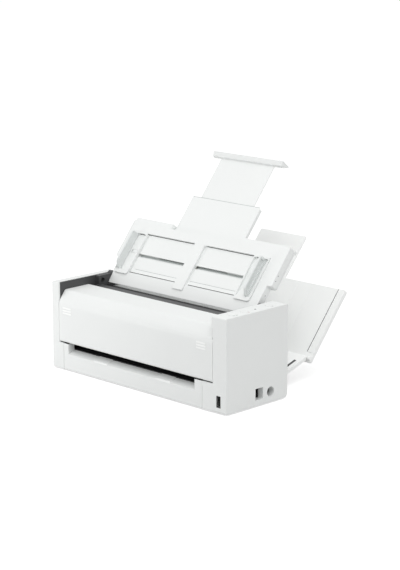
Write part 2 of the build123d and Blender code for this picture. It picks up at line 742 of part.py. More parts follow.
def control_panel():
    """Strip on top of the control side with the buttons' and the light's openings."""
    middle = at_x(control_x)
    panel = slab(middle - control_half + 0.1, middle + control_half - 0.1, at_y(control_from) + 0.1,
                 at_y(control_to) - 0.1, case_height - panel_thickness, case_height, 1.0)
    for y in button_y.values():
        panel -= post(middle, at_y(y), case_height - 4, case_height + 1, button_radius + button_gap)
    return panel - post(at_x(led_x), at_y(led_y), case_height - 4, case_height + 1, led_radius + 0.1)


def control_board():
    """Small board under the panel with a switch under each button."""
    middle = at_x(control_x)
    board = slab(middle - 6.5, middle + 6.5, at_y(control_from + 3), at_y(control_to - 3),
                 control_board_level, control_board_level + board_thick, 1.0)
    top = control_board_level + board_thick
    for y in button_y.values():
        board += bar(middle - 3, middle + 3, at_y(y) - 3, at_y(y) + 3, top - 0.1, top + 2.0)
        board += post(middle, at_y(y), top + 1.9, top + 2.4, 1.6)
    return board


def status_lens():
    """Light pipe from the board to the panel's top."""
    place = (at_x(led_x), at_y(led_y))
    return post(*place, control_board_level + board_thick, case_height + 0.1, led_radius) + post(
        *place, case_height - panel_thickness - 1.2, case_height - panel_thickness - 0.1, led_radius + 0.8)


def push_button(y):
    """A round cap with a flange under the panel and a stem that reaches its switch."""
    place = (at_x(control_x), at_y(y))
    cap = post(*place, case_height - panel_thickness - 1.2, case_height + 0.5, button_radius)
    flange = post(*place, case_height - panel_thickness - 1.2, case_height - panel_thickness - 0.2, button_radius + 0.7)
    switch_top = control_board_level + board_thick + 2.4
    stem = post(*place, switch_top + button_travel + 0.1, case_height - panel_thickness - 1.0, 1.5)
    return chamfer(cap.edges().sort_by(Axis.Z)[-1], 0.4) + flange + stem


def main_board():
    """Circuit board beside the gears, with its larger components."""
    top = main_board_level + board_thick
    left = at_x(board_left)
    board = bar(left, at_x(board_right), at_y(17.0), at_y(95), main_board_level, top)
    for x, wide, y0, y1, height in ((1.8, 6.0, 30, 44, 1.4), (9.8, 6.0, 22, 34, 1.2), (1.8, 4.0, 62, 66, 8.0),
                                    (1.8, 4.0, 84, 88, 8.0), (8.8, 6.0, 86, 92, 3.0)):
        board += bar(left + x, left + x + wide, at_y(y0), at_y(y1), top - 0.1, top + height)
    for number in range(5):
        pin = left + 1.8 + number * 2.54
        board += bar(pin, pin + 0.9, at_y(47.4), at_y(48.3), top - 0.1, top + 4.0)
    return board


def usb_a_socket():
    """Upright socket behind the front wall, its tongue set back in the shell."""
    x, z = at_x(usb_a_place[0]), usb_a_place[1]
    y0 = front_y + skin + 0.2
    shell = bar(x - 3.4, x + 3.4, y0, y0 + 13.6, z - 7.1, z + 7.1)
    hollow = bar(x - usb_a_half[0], x + usb_a_half[0], y0 - 1, y0 + 12.8, z - usb_a_half[1], z + usb_a_half[1])
    tongue = bar(x - 2.2, x - 0.4, y0 + 6.6, y0 + 13.0, z - 5.2, z + 5.2)
    foot = bar(x - 3.4, x + 3.4, y0 + 4, y0 + 13.6, foot_height + floor_thick, z - 7.0)
    return shell - hollow + tongue + foot


def usb_b_socket():
    """Square socket at the bottom of its pocket, with the tongue set back in the shell."""
    y, z = at_y(usb_b_place[0]), usb_b_place[1]
    x1 = right_x - pocket_depth - 0.1
    shell = bar(x1 - 13.4, x1, y - 6.0, y + 6.0, z - 6.4, z + 6.4)
    hollow = bar(x1 - 12.4, x1 + 1, y - 4.3, y + 4.3, z - 4.4, z + 4.4)
    tongue = bar(x1 - 13.0, x1 - 7.4, y - 2.8, y + 2.8, z - 1.5, z + 1.5)
    foot = bar(x1 - 13.4, x1 - 4, y - 5.0, y + 5.0, main_board_level + board_thick, z - 6.3)
    return shell - hollow + tongue + foot


def power_jack():
    """Round power socket at the bottom of its pocket, with its pin set back."""
    y, z = at_y(jack_place[0]), jack_place[1]
    x1 = right_x - pocket_depth - 0.1
    shell = rod(x1 - 13.0, x1, y, z, 5.6) - rod(x1 - 11.8, x1 + 1, y, z, 3.2)
    pin = rod(x1 - 12.4, x1 - 5.8, y, z, 1.0)
    foot = bar(x1 - 13.0, x1 - 3.0, y - 4.5, y + 4.5, main_board_level + board_thick, z - 4.0)
    return shell + (foot - rod(x1 - 14, x1 + 1, y, z, 4.0)) + pin


def drive_motor():
    """Round motor against the control side's frame, with a flange and the boss of its shaft."""
    face = side_frame_right - frame_block
    motor = rod(face - motor_length, face - 1.0, *motor_at, motor_radius)
    motor += rod(face - 1.1, face, *motor_at, 7.0)
    motor -= rod(face - 2.0, face + 1, *motor_at, 3.0)
    motor += rod(face - motor_length - 2.0, face - motor_length + 0.1, *motor_at, 4.0)
    return motor


def motor_pinion():
    """Ten-tooth pinion on the motor's shaft."""
    shaft = rod(side_frame_right - frame_block - 1.6, at_x(gear_x) + 0.1, *motor_at, 1.6)
    return side_gear(motor_at, motor_teeth, motor_turn) + shaft


def idler_gear(place, teeth, turn):
    return side_gear(place, teeth, turn, stub_radius + shaft_play)


def driven_shaft(place, teeth, turn, rollers):
    """A shaft with its gear; rollers lists the start, end and radius of each stretch that it swells to."""
    shaft = rod(side_frame_left + 0.4, at_x(gear_x) + 0.1, *place, shaft_radius) + side_gear(place, teeth, turn)
    for x0, x1, radius in rollers:
        shaft += rod(x0, x1, *place, radius)
    return shaft


def tyre_set(place, spans, radius, bore):
    return [rod(x0, x1, *place, radius) - rod(x0 - 1, x1 + 1, *place, bore + 0.02) for x0, x1 in spans]


def feed_spans():
    half = feed_hub_width / 2
    return [(paper_x - half + 1, paper_x - 3), (paper_x + 3, paper_x + half - 1)]


def roller_spans():
    return [(x - roller_width / 2, x + roller_width / 2) for x in roller_middles]


def feed_shaft():
    hub = (paper_x - feed_hub_width / 2, paper_x + feed_hub_width / 2, feed_radius - 2.5)
    return driven_shaft(feed_at, feed_teeth, feed_turn, [hub])


def feed_tyres():
    return tyre_set(feed_at, feed_spans(), feed_radius, feed_radius - 2.5)


def conveyor_shaft():
    hubs = [(x0 - 0.8, x1 + 0.8, conveyor_radius - 1.8) for x0, x1 in roller_spans()]
    return driven_shaft(conveyor_at, feed_teeth, conveyor_turn, hubs)


def conveyor_tyres():
    return tyre_set(conveyor_at, roller_spans(), conveyor_radius, conveyor_radius - 1.8)


def exit_roller():
    return driven_shaft(exit_at, feed_teeth, exit_turn_angle, [(x0, x1, exit_radius) for x0, x1 in roller_spans()])


def eject_roller():
    return driven_shaft(eject_at, rear_teeth, eject_turn, [(x0, x1, eject_radius) for x0, x1 in roller_spans()])


def separation_roller():
    """Roller that holds back the second sheet, turning on its own axle between two ribs of the cover's frame."""
    half = separation_width / 2
    return rod(paper_x - half, paper_x + half, *separation_at, separation_radius) + rod(
        paper_x - half - 5.0, paper_x + half + 5.0, *separation_at, idler_pin)


def pressure_roller(place, radius, x0, x1):
    """Two idler rollers on one thin shaft."""
    roller = rod(x0, x1, *place, idler_pin)
    for start, end in roller_spans():
        roller += rod(start, end, *place, radius)
    return roller


def conveyor_idler():
    return pressure_roller(conveyor_idler_at, conveyor_idler_radius, paper_x - 74.5, paper_x + 74.5)


def exit_idler():
    reach = roller_offset + roller_width / 2 + 3.0
    return pressure_roller(exit_idler_at, exit_idler_radius, paper_x - reach, paper_x + reach)


def eject_idler():
    return pressure_roller(eject_idler_at, eject_idler_radius, side_frame_left + 0.5, side_frame_right - 0.5)


def front_cover():
    """White front cover: a bent sheet with end walls, a barrel and pins along its lower edge and grip bars."""
    outer = [(0, cover_bottom + cover_pivot), (0, cover_knee), (cover_slope, cover_top - 0.3), (cover_rear, cover_top)]
    inner = [(cover_rear, cover_top - cover_skin), (cover_slope + 1.1, cover_top - 0.3 - cover_skin),
             (cover_skin, cover_knee - 0.9), (cover_skin, cover_bottom + cover_pivot)]
    left, right = at_x(cover_left), side_frame_right - fit
    cover = side_profile(side_points(outer + inner), left, right, [0, 3.0, 4.0, 0.8, 0, 2.0, 1.0, 0])
    cover += bar(right - 1, at_x(cover_right), front_y, front_y + cover_skin, cover_bottom + cover_pivot,
                 cover_knee - 0.5)
    cover += rod(left, at_x(cover_right), *cover_axis, cover_pivot)
    wall = side_points(outer[:3] + [(46.0, cover_top - 0.5), (46.0, 62.0), (12.0, cover_bottom + cover_pivot + 3)])
    for x0 in (left, right - 2.0):
        cover += side_profile(wall, x0, x0 + 2.0, [0, 3.0, 4.0, 0, 8.0, 0])
    cover += rod(side_frame_left - 2.4, left + 1, *cover_axis, cover_pin)
    cover += rod(at_x(cover_right) - 1, at_x(cover_right) + 2.4, *cover_axis, cover_pin)
    for middle in grip_bar_places:
        for row in range(3):
            z = grip_bar_low + row * grip_bar_pitch
            cover += bar(at_x(middle) - grip_bar_width / 2, at_x(middle) + grip_bar_width / 2,
                         front_y - grip_bar_proud, front_y + 1, z, z + grip_bar_height)
    return cover


def cover_inner_frame():
    """Dark frame inside the front cover: front half of the paper path, ribs, and the seats of bar and rollers."""
    left, right = guide_span()
    back = [(y - 1.4, z) for y, z in reversed(feed_front)]
    frame = side_profile(side_points(list(feed_front) + back), left, right)
    edge = side_points([(cover_rear + 0.5, 99.2), (66.0, 98.4), (65.6, 97.2), (cover_rear + 0.5, 97.8)])
    frame += side_profile(edge, left, right)
    frame += side_profile(side_points([(55.0, 41.0), (55.0, 42.2), (7.2, 42.2), (7.2, 41.0)]), left, right)
    rib = side_points([(54.4, 41.5), (54.4, 66), (56.0, 73.4), (62.6, 88.0), (64.8, 97.6), (cover_slope + 1.6, 97.4),
                       (cover_skin + 0.3, cover_knee - 1.2), (cover_skin + 0.3, 43.5), (7.5, 41.5)])
    for offset in (-108, -72, -20, 20, 72, 108):
        x = paper_x + offset
        frame += side_profile(rib, x - rib_thick / 2, x + rib_thick / 2)
    frame -= bar(left - 1, right + 1, at_y(37.7), at_y(56), sensor_low - 0.3, sensor_high + 0.3)
    frame -= rod(paper_x - 80, paper_x + 80, *conveyor_idler_at, idler_pin + shaft_play)
    frame -= rod(paper_x - 30, paper_x + 30, *separation_at, idler_pin + shaft_play)
    frame = cut_windows(frame, [paper_x], separation_width + 2, 56, 68, 82, 97.0)
    frame = cut_windows(frame, roller_middles, roller_width + 2, 52, 58, 60.0, 72.5)
    frame -= bar(at_x(20.2), at_x(27.4), at_y(50), at_y(58.8), 96, 101)
    frame += rod(at_x(20.4), paper_x - 107.5, *latch_axis(), 1.5)
    return frame


def latch_axis():
    return at_y(56.0), 90.0


def cover_latch():
    """Lever that frees the front cover: a thumb tab above the frame and a hook below."""
    y, z = latch_axis()
    lever = rod(at_x(21.0), at_x(26.0), y, z, 3.0)
    lever += side_profile([(y - 2, z), (y + 2, z), (y + 1.6, cover_top - 0.6), (y - 0.8, cover_top)],
                          at_x(21.0), at_x(26.0), [0, 0, 0.8, 0.8])
    lever += side_profile([(y - 2.6, z), (y + 0.4, z - 2), (y - 1.2, z - 11), (y - 6, z - 13), (y - 6, z - 10.6),
                           (y - 3.6, z - 9)], at_x(21.0), at_x(26.0))
    return lever - rod(at_x(20), at_x(27), y, z, 1.5 + pin_play)


def tray_frame():
    """Feed tray: a wide plate on a narrower neck, with a ribbed recess and slots for the guides' stems."""
    back = -(tray_thick - tray_cover_thick - tray_joint)
    tray = slab(at_x(tray_left), at_x(tray_right), neck_length, tray_length, back, 0, 2.0)
    tray += side_profile([(0, -apron_drop), (recess_low, 0), (neck_length, 0), (neck_length, -neck_thick),
                          (toe_undercut, -neck_thick), (0, -apron_drop - toe_edge)],
                         at_x(neck_left), at_x(neck_right), [0.3, 0, 0, 0, 2.0, 0.2])
    tray -= slab(at_x(recess_left), at_x(recess_right), recess_low, recess_high, -recess_depth, 1, 1.5)
    rib = side_profile([(rib_ramp_low, -apron_drop), (rib_ramp_low, -1.4), (rib_ramp_high, rib_proud),
                        (recess_high - 2, rib_proud), (recess_high + 1.5, 0), (recess_high + 1.5, -recess_depth - 1)],
                       paper_x - rib_width / 2, paper_x + rib_width / 2)
    tray += rib
    floor = -(recess_depth + recess_floor)
    rack_bottom = -(rack_front + rack_thick + 0.1)
    reach = paper_x - at_x(stem_from) + 1.5
    half_height = pinion_teeth * tooth / 2 + rack_bar + 1.8
    tray -= bar(paper_x - reach, paper_x + reach, pinion_s - half_height, pinion_s + half_height, rack_bottom, floor)
    half_middle = middle_width / 2 + slide_play
    stow = middle_top - middle_stowed
    room_floor = -(middle_front + middle_thick + 0.2)
    tray -= bar(paper_x - half_middle, paper_x + half_middle, middle_low - stow - 0.5, tray_length + 1,
                room_floor, rack_bottom + 0.01)
    tray -= bar(paper_x - half_middle, paper_x + half_middle, neck_length, tray_length + 1, back - 1, rack_bottom + 0.01)
    half_upper = upper_width / 2 + slide_play
    tray -= bar(paper_x - half_upper, paper_x + half_upper, upper_low - upper_stow - stow - 0.5,
                neck_length, room_floor, -(middle_front + middle_skin))
    for side in (-1, 1):
        inside = paper_x + side * (rib_width / 2)
        outside = paper_x + side * (paper_x - at_x(stem_from - 1.0))
        tray -= bar(*sorted((inside, outside)), pinion_s - rack_slot_width / 2, pinion_s + rack_slot_width / 2,
                    floor - 1, 0)
        tray -= bar(*sorted((paper_x + side * 10.5, paper_x + side * 87)), 24.3, 24.9, -recess_depth - 0.3, 0)
        span = sorted((inside + side * 2.0, paper_x + side * (paper_x - at_x(recess_left) - 1.5)))
        for low in (recess_low, recess_high - edge_slot):
            tray -= bar(*span, low, low + edge_slot, -edge_slot_depth, 0)
            tray -= bar(*span, low - edge_channel, low + edge_slot + edge_channel, -edge_slot_depth, floor)
        neck_edge, tray_edge = (at_x(neck_left), at_x(tray_left)) if side < 0 else (at_x(neck_right), at_x(tray_right))
        tray -= rod(*sorted((neck_edge + side, neck_edge - 6 * side)), hinge_s, hinge_t, pin_radius + 0.02)
        tray -= rod(*sorted((neck_edge + side, neck_edge - side_hole_depth * side)), *neck_hole, side_hole_radius)
        for hole in side_holes:
            tray -= rod(*sorted((tray_edge + side, tray_edge - side_hole_depth * side)), *hole, side_hole_radius)
    tray += post(paper_x, pinion_s, rack_bottom + 0.05, floor + 0.1, stub_radius)
    corner = paper_x + rib_width / 2 - 0.1
    rounded = post(corner + recess_corner, recess_high - recess_corner, -recess_depth - 1, 1, recess_corner)
    tray += bar(corner, corner + recess_corner, recess_high - recess_corner, recess_high + 0.1,
                -recess_depth - 0.1, 0) - rounded
    tray -= bar(at_x(stop_left()), at_x(stop_right()), notch_floor, tray_length + 1, -12, 1)
    return tray_frame_place * tray


def stop_left():
    return paper_centre - middle_width / 2 - 1.2


def stop_right():
    return paper_centre + middle_width / 2 + 1.2


def tray_cover():
    """White cover on the tray's back, which is the top of the closed scanner, with a grip lip."""
    left, right = at_x(0.5), at_x(tray_right)
    cover = slab(left, right, neck_length + 0.2, tray_length, -tray_thick, -(tray_thick - tray_cover_thick), 3.0)
    cover += side_profile([(tray_length - 4.2, -tray_thick + 0.1), (tray_length - 3.4, -tray_thick - lip_depth),
                           (tray_length - 0.4, -tray_thick - lip_depth), (tray_length, -tray_thick + 0.1)],
                          left + 1, right - 1, [0, 0.8, 0.8, 0])
    cover -= bar(at_x(stop_left()), at_x(stop_right()), notch_floor, tray_length + 1, -20, 1)
    groove = middle_width / 2 + slide_play
    for side in (-1, 1):
        cover -= bar(*sorted((paper_x + side * groove, paper_x + side * (groove - 2.0))), neck_length + 0.6,
                     tray_length + 1, -(middle_front + middle_rail_deep + 0.2), 0)
    return tray_frame_place * cover


def tray_hinge_pins():
    """Steel pins at the two ends of the tray's neck."""
    pins = []
    for side in (-1, 1):
        inner = at_x(neck_left) + 5.8 if side < 0 else at_x(neck_right) - 5.8
        outer = side_frame_left + 1.0 if side < 0 else side_frame_right - 1.0
        pins.append(tray_frame_place * rod(*sorted((inner, outer)), hinge_s, hinge_t, pin_radius))
    return pins


def guide_base():
    """Left side guide's base, open rack and stem, drawn flat."""
    left, right = at_x(guide_outer), at_x(guide_outer) + guide_width
    base = slab(left, right, recess_low + 0.3, guide_high, -recess_depth + 0.2, guide_proud, 2.0)
    base += slab(left, right, guide_low, recess_low + 4, 0.0, guide_proud, 3.0)
    base -= bar(left + 1.2, right - 1.2, fence_low - 0.25, fence_high + 0.25, fence_axis_t - 0.2, guide_proud + 1)
    hole = fence_high - fence_low + 2 * fence_pin_length
    base -= Pos(at_x(fence_axis_x), (fence_low + fence_high) / 2, fence_axis_t) * Rot(90, 0, 0) * Cylinder(
        fence_pin + pin_play, hole + 0.2)
    slit_low = fence_high + 0.2
    base -= bar(left + 10.6, left + 20.6, slit_low, slit_low + 0.8, fence_axis_t - 0.2, guide_proud + 1)
    base -= bar(left + 11.2, left + 12.2, 44.8, 50.2, -recess_depth, guide_proud + 1)
    pad = bar(left + 12.8, left + 20.6, 45.2, 49.8, fence_axis_t - 0.8, guide_proud)
    base -= pad - bar(left + 13.3, left + 20.1, 45.7, 49.3, fence_axis_t - 1, guide_proud + 1)
    floor = -(recess_depth - 0.2)
    stem = bar(at_x(stem_from), at_x(stem_to), pinion_s - 1.8, pinion_s + 1.8, -rack_front - 0.1, floor + 0.1)
    return base + stem


def rack_outline():
    """The left guide's rack, seen from the paper side: its teeth point down to the pinion."""
    pitch_line = pinion_s + pinion_teeth * tooth / 2
    back = pitch_line + tooth_foot + rack_bar
    slope = math.tan(math.radians(pressure))
    half = (math.pi * tooth / 2 - backlash) / 2
    start, end = at_x(stem_to + 1.0), at_x(rack_end)
    outer = at_x(stem_from - 0.5)
    points = [(end, back), (outer, back), (outer, pinion_s - 1.9), (start, pinion_s - 1.9)]
    points.append((start, pitch_line + tooth_foot))
    count = int((end - start) / (math.pi * tooth)) + 2
    first = math.floor((start - paper_x) / (math.pi * tooth))
    for number in range(count):
        middle = paper_x + (first + number + 0.5) * math.pi * tooth
        foot, tip = half + tooth_foot * slope, half - tooth_tip * slope
        if middle - foot > start + 0.2 and middle + foot < end:
            points += [(middle - foot, pitch_line + tooth_foot), (middle - tip, pitch_line - tooth_tip),
                       (middle + tip, pitch_line - tooth_tip), (middle + foot, pitch_line + tooth_foot)]
    points.append((end, pitch_line + tooth_foot))
    return points


def side_rack():
    face = make_face(Polyline(*rack_outline(), close=True))
    return extrude(Plane.XY.offset(-rack_front - rack_thick) * face, rack_thick, dir=(0, 0, 1))


def left_guide():
    return tray_frame_place * (guide_base() + side_rack())


def right_guide():
    """Mirror image of the left guide; its rack lies on the other side of the pinion."""
    base = guide_base().mirror(Plane.YZ.offset(paper_x))
    rack = Pos(paper_x, pinion_s, 0) * Rot(0, 0, 180) * Pos(-paper_x, -pinion_s, 0) * side_rack()
    return tray_frame_place * (base + rack)


def fence_plate():
    """Left fence, standing: a hollow-backed plate that turns about its lower inner edge."""
    x1 = at_x(fence_axis_x)
    low, tall = fence_low, fence_height
    outline = [(low, 0), (low, tall * 0.4), (low + 7.4, tall), (fence_high - 1.4, tall),
               (fence_high, tall - 2.5), (fence_high, 0)]
    outline = [(s, fence_axis_t + t) for s, t in outline]
    plate = side_profile(outline, x1 - fence_thick, x1, [0, 1.5, 4.0, 1.0, 1.0, 0])
    inset = [(low + 3, fence_axis_t + 3.0), (low + 3, fence_axis_t + tall * 0.4), (low + 9.0, fence_axis_t + tall - 2.0),
             (fence_high - 3, fence_axis_t + tall - 2.0), (fence_high - 3, fence_axis_t + 3.0)]
    plate -= side_profile(inset, x1 - fence_thick - 1, x1 - 1.2)
    pins = fence_high - fence_low + 2 * fence_pin_length
    pin = Pos(x1, (fence_low + fence_high) / 2, fence_axis_t) * Rot(90, 0, 0) * Cylinder(fence_pin, pins)
    return plate + (pin - bar(x1 - 2, x1 + 2, fence_low + 1, fence_high - 1, -3, 3))


def left_fence():
    return tray_frame_place * fence_plate()


def right_fence():
    return tray_frame_place * fence_plate().mirror(Plane.YZ.offset(paper_x))


def guide_pinion():
    """Pinion between the two racks, which keeps the guides at equal distance from the middle."""
    corners = [(paper_x + x, pinion_s + y) for x, y in gear_outline(pinion_teeth, 0.0)]
    face = make_face(Polyline(*corners, close=True))
    gear = extrude(Plane.XY.offset(-rack_front - rack_thick) * face, rack_thick, dir=(0, 0, 1))
    return tray_frame_place * (gear - post(paper_x, pinion_s, -8, 0, stub_radius + shaft_play))


def middle_extension():
    """Wide sliding plate in the tray, with rails along its back that the upper sheet slides between."""
    half = middle_width / 2
    front, back = -middle_front, -(middle_front + middle_thick)
    plate = slab(paper_x - half, paper_x + half, middle_low, middle_top, front - middle_skin, front, 2.5)
    inner = upper_width / 2 + slide_play
    low, high = middle_low + 2.5, middle_top - 2.5
    for side in (-1, 1):
        plate += bar(*sorted((paper_x + side * inner, paper_x + side * (inner + 1.6))), low, high, back, front - 0.1)
        edge = sorted((paper_x + side * half, paper_x + side * (half - 1.6)))
        plate += bar(*edge, low, high, back, front - 0.1)
        plate += bar(*edge, middle_rail_low, high, front - middle_rail_deep, front - 0.1)
    return tray_frame_place * plate


def upper_extension():
    """Thin sliding plate that carries the stop."""
    half = upper_width / 2
    front = -(middle_front + middle_skin + 0.15)
    plate = slab(paper_x - half, paper_x + half, upper_low, stop_low + stop_grip, front - upper_thick, front, 1.5)
    return tray_frame_place * plate


def end_stop():
    """Bar across the top of the extension, a wedge-shaped section that the sheets rest against."""
    top = stop_low + stop_height
    section = [(top, stop_front), (stop_low + stop_lip[0], stop_front - stop_lip[1]),
               (stop_low, stop_front - stop_heel), (top, stop_front - stop_depth)]
    stop = side_profile(section, at_x(stop_left() + 0.5), at_x(stop_right() - 0.5), [0.6, 0.5, 0.6, 0.8])
    half = upper_width / 2 + 0.05
    front = -(middle_front + middle_skin + 0.15)
    stop -= bar(paper_x - half, paper_x + half, stop_low - 1, stop_low + stop_grip + 0.05,
                front - upper_thick - 0.05, front + 0.05)
    return tray_frame_place * stop


def stacker_slider():
    """Rod with a shoe at each end, which carries the stacker's base plate along its tracks."""
    y, z = front_y + base_pivot_rest, base_pivot_height
    left, right = left_x + skin + fit + 1.3, side_frame_right - 1.9
    slider = rod(left + 1, right - 1, y, z, slider_radius)
    for x0, x1 in ((left, left + 3.0), (right - 3.0, right)):
        slider += bar(x0, x1, y - shoe_half, y + shoe_half, foot_height + floor_thick + 0.3, rail_low - 0.3)
    return slider


def base_edges():
    return at_x(ear_left + ear_width + ear_gap), at_x(ear_right - ear_width - ear_gap)


def stacker_base():
    """Base plate of the stacker, hinged to the slider in front and to the panel behind."""
    left, right = base_edges()
    half = base_thick / 2
    plate = bar(left, right, 0, base_length, -half, half)
    for y in (0, base_length):
        plate += rod(left, right, y, 0, half)
    for x in (12.5, paper_centre, base_slot_x):
        plate -= bar(at_x(x) - 0.8, at_x(x) + 0.8, 12, base_length - 8, -half - 1, -half + 0.8)
    plate -= bar(at_x(base_slot_x) - 0.8, at_x(base_slot_x) + 0.8, *base_slot, -half - 1, half + 1)
    plate -= rod(left - 1, right + 1, 0, 0, slider_radius + pin_play)
    for x0, x1 in ((left - 1, left + ear_pin_length + 0.5), (right - ear_pin_length - 0.5, right + 1)):
        plate -= rod(x0, x1, base_length, 0, ear_pin + pin_play)
    return base_place * plate


def stacker_panel():
    """Stacker panel with ears on the base plate's end, a recessed back and a pocket for the sliding sheet."""
    left, right = at_x(stacker_left), at_x(stacker_right)
    front, back = -panel_behind, -(panel_behind + panel_thick)
    panel = slab(left, right, -panel_heel, panel_length, back, front, 2.0)
    panel -= slab(left + 8.5, right - 8.5, 5.0, panel_length - 8.0, back - 1, back + panel_recess, 2.0)
    half = sheet_width / 2 + slide_play
    panel -= bar(at_x(sheet_middle) - half, at_x(sheet_middle) + half, panel_length - sheet_length - 0.5,
                 panel_length + 1, -(sheet_behind + sheet_thick) - 0.1, -sheet_behind + 0.1)
    for x in (40.0, 234.0):
        for side in (-1, 1):
            panel += bar(at_x(x) + side * 5 - 0.8, at_x(x) + side * 5 + 0.8, 8.0, 15.0, back, back + panel_recess + 0.1)
    for side, x0, x1, radii in ((-1, left, left + panel_rim, [0, 0, 0, 2.0]), (1, right - panel_rim, right, [0, 0, 2.0, 0])):
        panel += flat_profile([(x0, panel_rim), (x1, panel_rim), (x1, panel_length), (x0, panel_length)],
                              front - 0.1, front + panel_rim_proud, radii)
        groove = x1 if side < 0 else x0
        panel -= bar(*sorted((groove, groove - side * 0.6)), panel_rim, panel_length + 1, front - 0.8, front + 1)
        for offset in panel_lines:
            line = paper_x + side * offset
            panel -= bar(line - 0.25, line + 0.25, panel_rim, panel_length - 4, front - 0.3, front + 1)
    base_left, base_right = base_edges()
    for x0, x1, pin_to in ((at_x(ear_left), at_x(ear_left) + ear_width, base_left + ear_pin_length),
                           (at_x(ear_right) - ear_width, at_x(ear_right), base_right - ear_pin_length)):
        ear = side_profile([(-2.0, front - 0.1), (-2.0, 0), (2.0, 0), (6.0, front - 0.1)], x0, x1)
        panel += ear + rod(x0, x1, 0, 0, base_thick / 2) + rod(*sorted(((x0 + x1) / 2, pin_to)), 0, 0, ear_pin)
    return panel_place * panel


def stacker_extension():
    """Sheet that slides out of the stacker panel."""
    half = sheet_width / 2
    start = panel_length + sheet_out - sheet_length
    sheet = slab(at_x(sheet_middle) - half, at_x(sheet_middle) + half, start, panel_length + sheet_out,
                 -(sheet_behind + sheet_thick), -sheet_behind, 2.5)
    return panel_place * sheet


sub_parts = {
    "base_frame": base_frame, "left_side_cover": left_side_cover, "right_side_cover": right_side_cover,
    "lower_front_panel": lower_front_panel, "rear_cover": rear_cover,
    "left_side_frame": left_side_frame, "right_side_frame": right_side_frame,
    "rear_paper_guide": rear_paper_guide, "exit_guide": exit_guide,
    "control_panel": control_panel, "control_board": control_board, "status_lens": status_lens,
    "main_board": main_board, "usb_a_socket": usb_a_socket, "usb_b_socket": usb_b_socket, "power_jack": power_jack,
    "socket_collars": socket_collars,
    "drive_motor": drive_motor, "rear_sensor_bar": rear_sensor_bar, "rear_sensor_glass": rear_sensor_glass,
    "rubber_feet": rubber_feet, "case_screws": case_screws, "shaft_bushes": shaft_bushes,
    "tray_frame": tray_frame, "tray_cover": tray_cover, "tray_hinge_pins": tray_hinge_pins,
    "left_guide": left_guide, "left_fence": left_fence, "right_guide": right_guide, "right_fence": right_fence,
    "guide_pinion": guide_pinion,
    "middle_extension": middle_extension, "upper_extension": upper_extension, "end_stop": end_stop,
    "front_cover": front_cover, "cover_inner_frame": cover_inner_frame, "front_sensor_bar": front_sensor_bar,
    "front_sensor_glass": front_sensor_glass, "cover_latch": cover_latch,
    "feed_shaft": feed_shaft, "feed_tyres": feed_tyres, "conveyor_shaft": conveyor_shaft,
    "conveyor_tyres": conveyor_tyres, "exit_roller": exit_roller, "eject_roller": eject_roller,
    "separation_roller": separation_roller, "conveyor_idler": conveyor_idler, "exit_idler": exit_idler,
    "eject_idler": eject_idler, "motor_pinion": motor_pinion,
    "idler_gear_high": lambda: idler_gear(high_at, rear_teeth, high_turn),
    "idler_gear_low": lambda: idler_gear(low_at, low_teeth, low_turn),
    "idler_gear_rear": lambda: idler_gear(rear_at, rear_teeth, rear_turn),
    "stacker_slider": stacker_slider, "stacker_base": stacker_base, "stacker_panel": stacker_panel,
    "stacker_extension": stacker_extension,
}
for name, place in button_y.items():
    sub_parts[name] = lambda y=place: push_button(y)

os.makedirs("parts", exist_ok=True)
for name, make in sub_parts.items():
    solids = make()
    shape = Compound(children=list(solids)) if isinstance(solids, list) else solids
    export_step(shape, f"parts/{name}.step")
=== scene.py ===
import json
import math
import bpy
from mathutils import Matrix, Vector


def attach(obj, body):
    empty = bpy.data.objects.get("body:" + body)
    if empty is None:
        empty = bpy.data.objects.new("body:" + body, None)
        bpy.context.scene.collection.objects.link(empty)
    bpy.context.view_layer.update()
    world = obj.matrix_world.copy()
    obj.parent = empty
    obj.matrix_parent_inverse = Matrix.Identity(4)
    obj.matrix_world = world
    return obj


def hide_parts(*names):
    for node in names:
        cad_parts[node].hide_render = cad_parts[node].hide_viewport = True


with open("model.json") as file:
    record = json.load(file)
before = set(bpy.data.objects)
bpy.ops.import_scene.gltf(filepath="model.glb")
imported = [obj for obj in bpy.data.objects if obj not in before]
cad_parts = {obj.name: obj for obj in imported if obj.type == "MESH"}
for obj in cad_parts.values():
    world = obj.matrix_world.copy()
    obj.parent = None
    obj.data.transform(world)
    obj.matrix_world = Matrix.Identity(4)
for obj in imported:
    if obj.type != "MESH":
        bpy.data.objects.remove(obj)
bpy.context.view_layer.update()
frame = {"nodes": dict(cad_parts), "record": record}
bpy.ops.object.select_all(action="DESELECT")
mm = 0.001
print("frame loaded,", len(frame["nodes"]), "nodes")

bodyOf = {}
for bodyName, members in frame["record"]["behaviour"]["bodies"].items():
    for member in members:
        bodyOf[member] = bodyName
slotOf = {entry["node"]: entry["material_slot"] for entry in frame["record"]["subparts"]}


# camera, at the photograph's place and angle

cameraView = {"place": (1.488279, -1.545142, 0.606155), "turn": 44.488, "down": 13.113, "lens": 112.673,
              "sensor": 36, "near": 0.05, "far": 40}
bpy.ops.object.camera_add(location=cameraView["place"],
                          rotation=(math.radians(90 - cameraView["down"]), 0, math.radians(cameraView["turn"])))
camera = bpy.context.object
camera.name = "camera"
camera.data.lens = cameraView["lens"]
camera.data.sensor_width = cameraView["sensor"]
camera.data.clip_start = cameraView["near"]
camera.data.clip_end = cameraView["far"]
bpy.context.scene.camera = camera


# colours and nodes

def toLinear(hexColour):
    channels = [int(hexColour[i:i + 2], 16) / 255 for i in (1, 3, 5)]
    return tuple(c / 12.92 if c <= 0.04045 else ((c + 0.055) / 1.055) ** 2.4 for c in channels) + (1.0,)


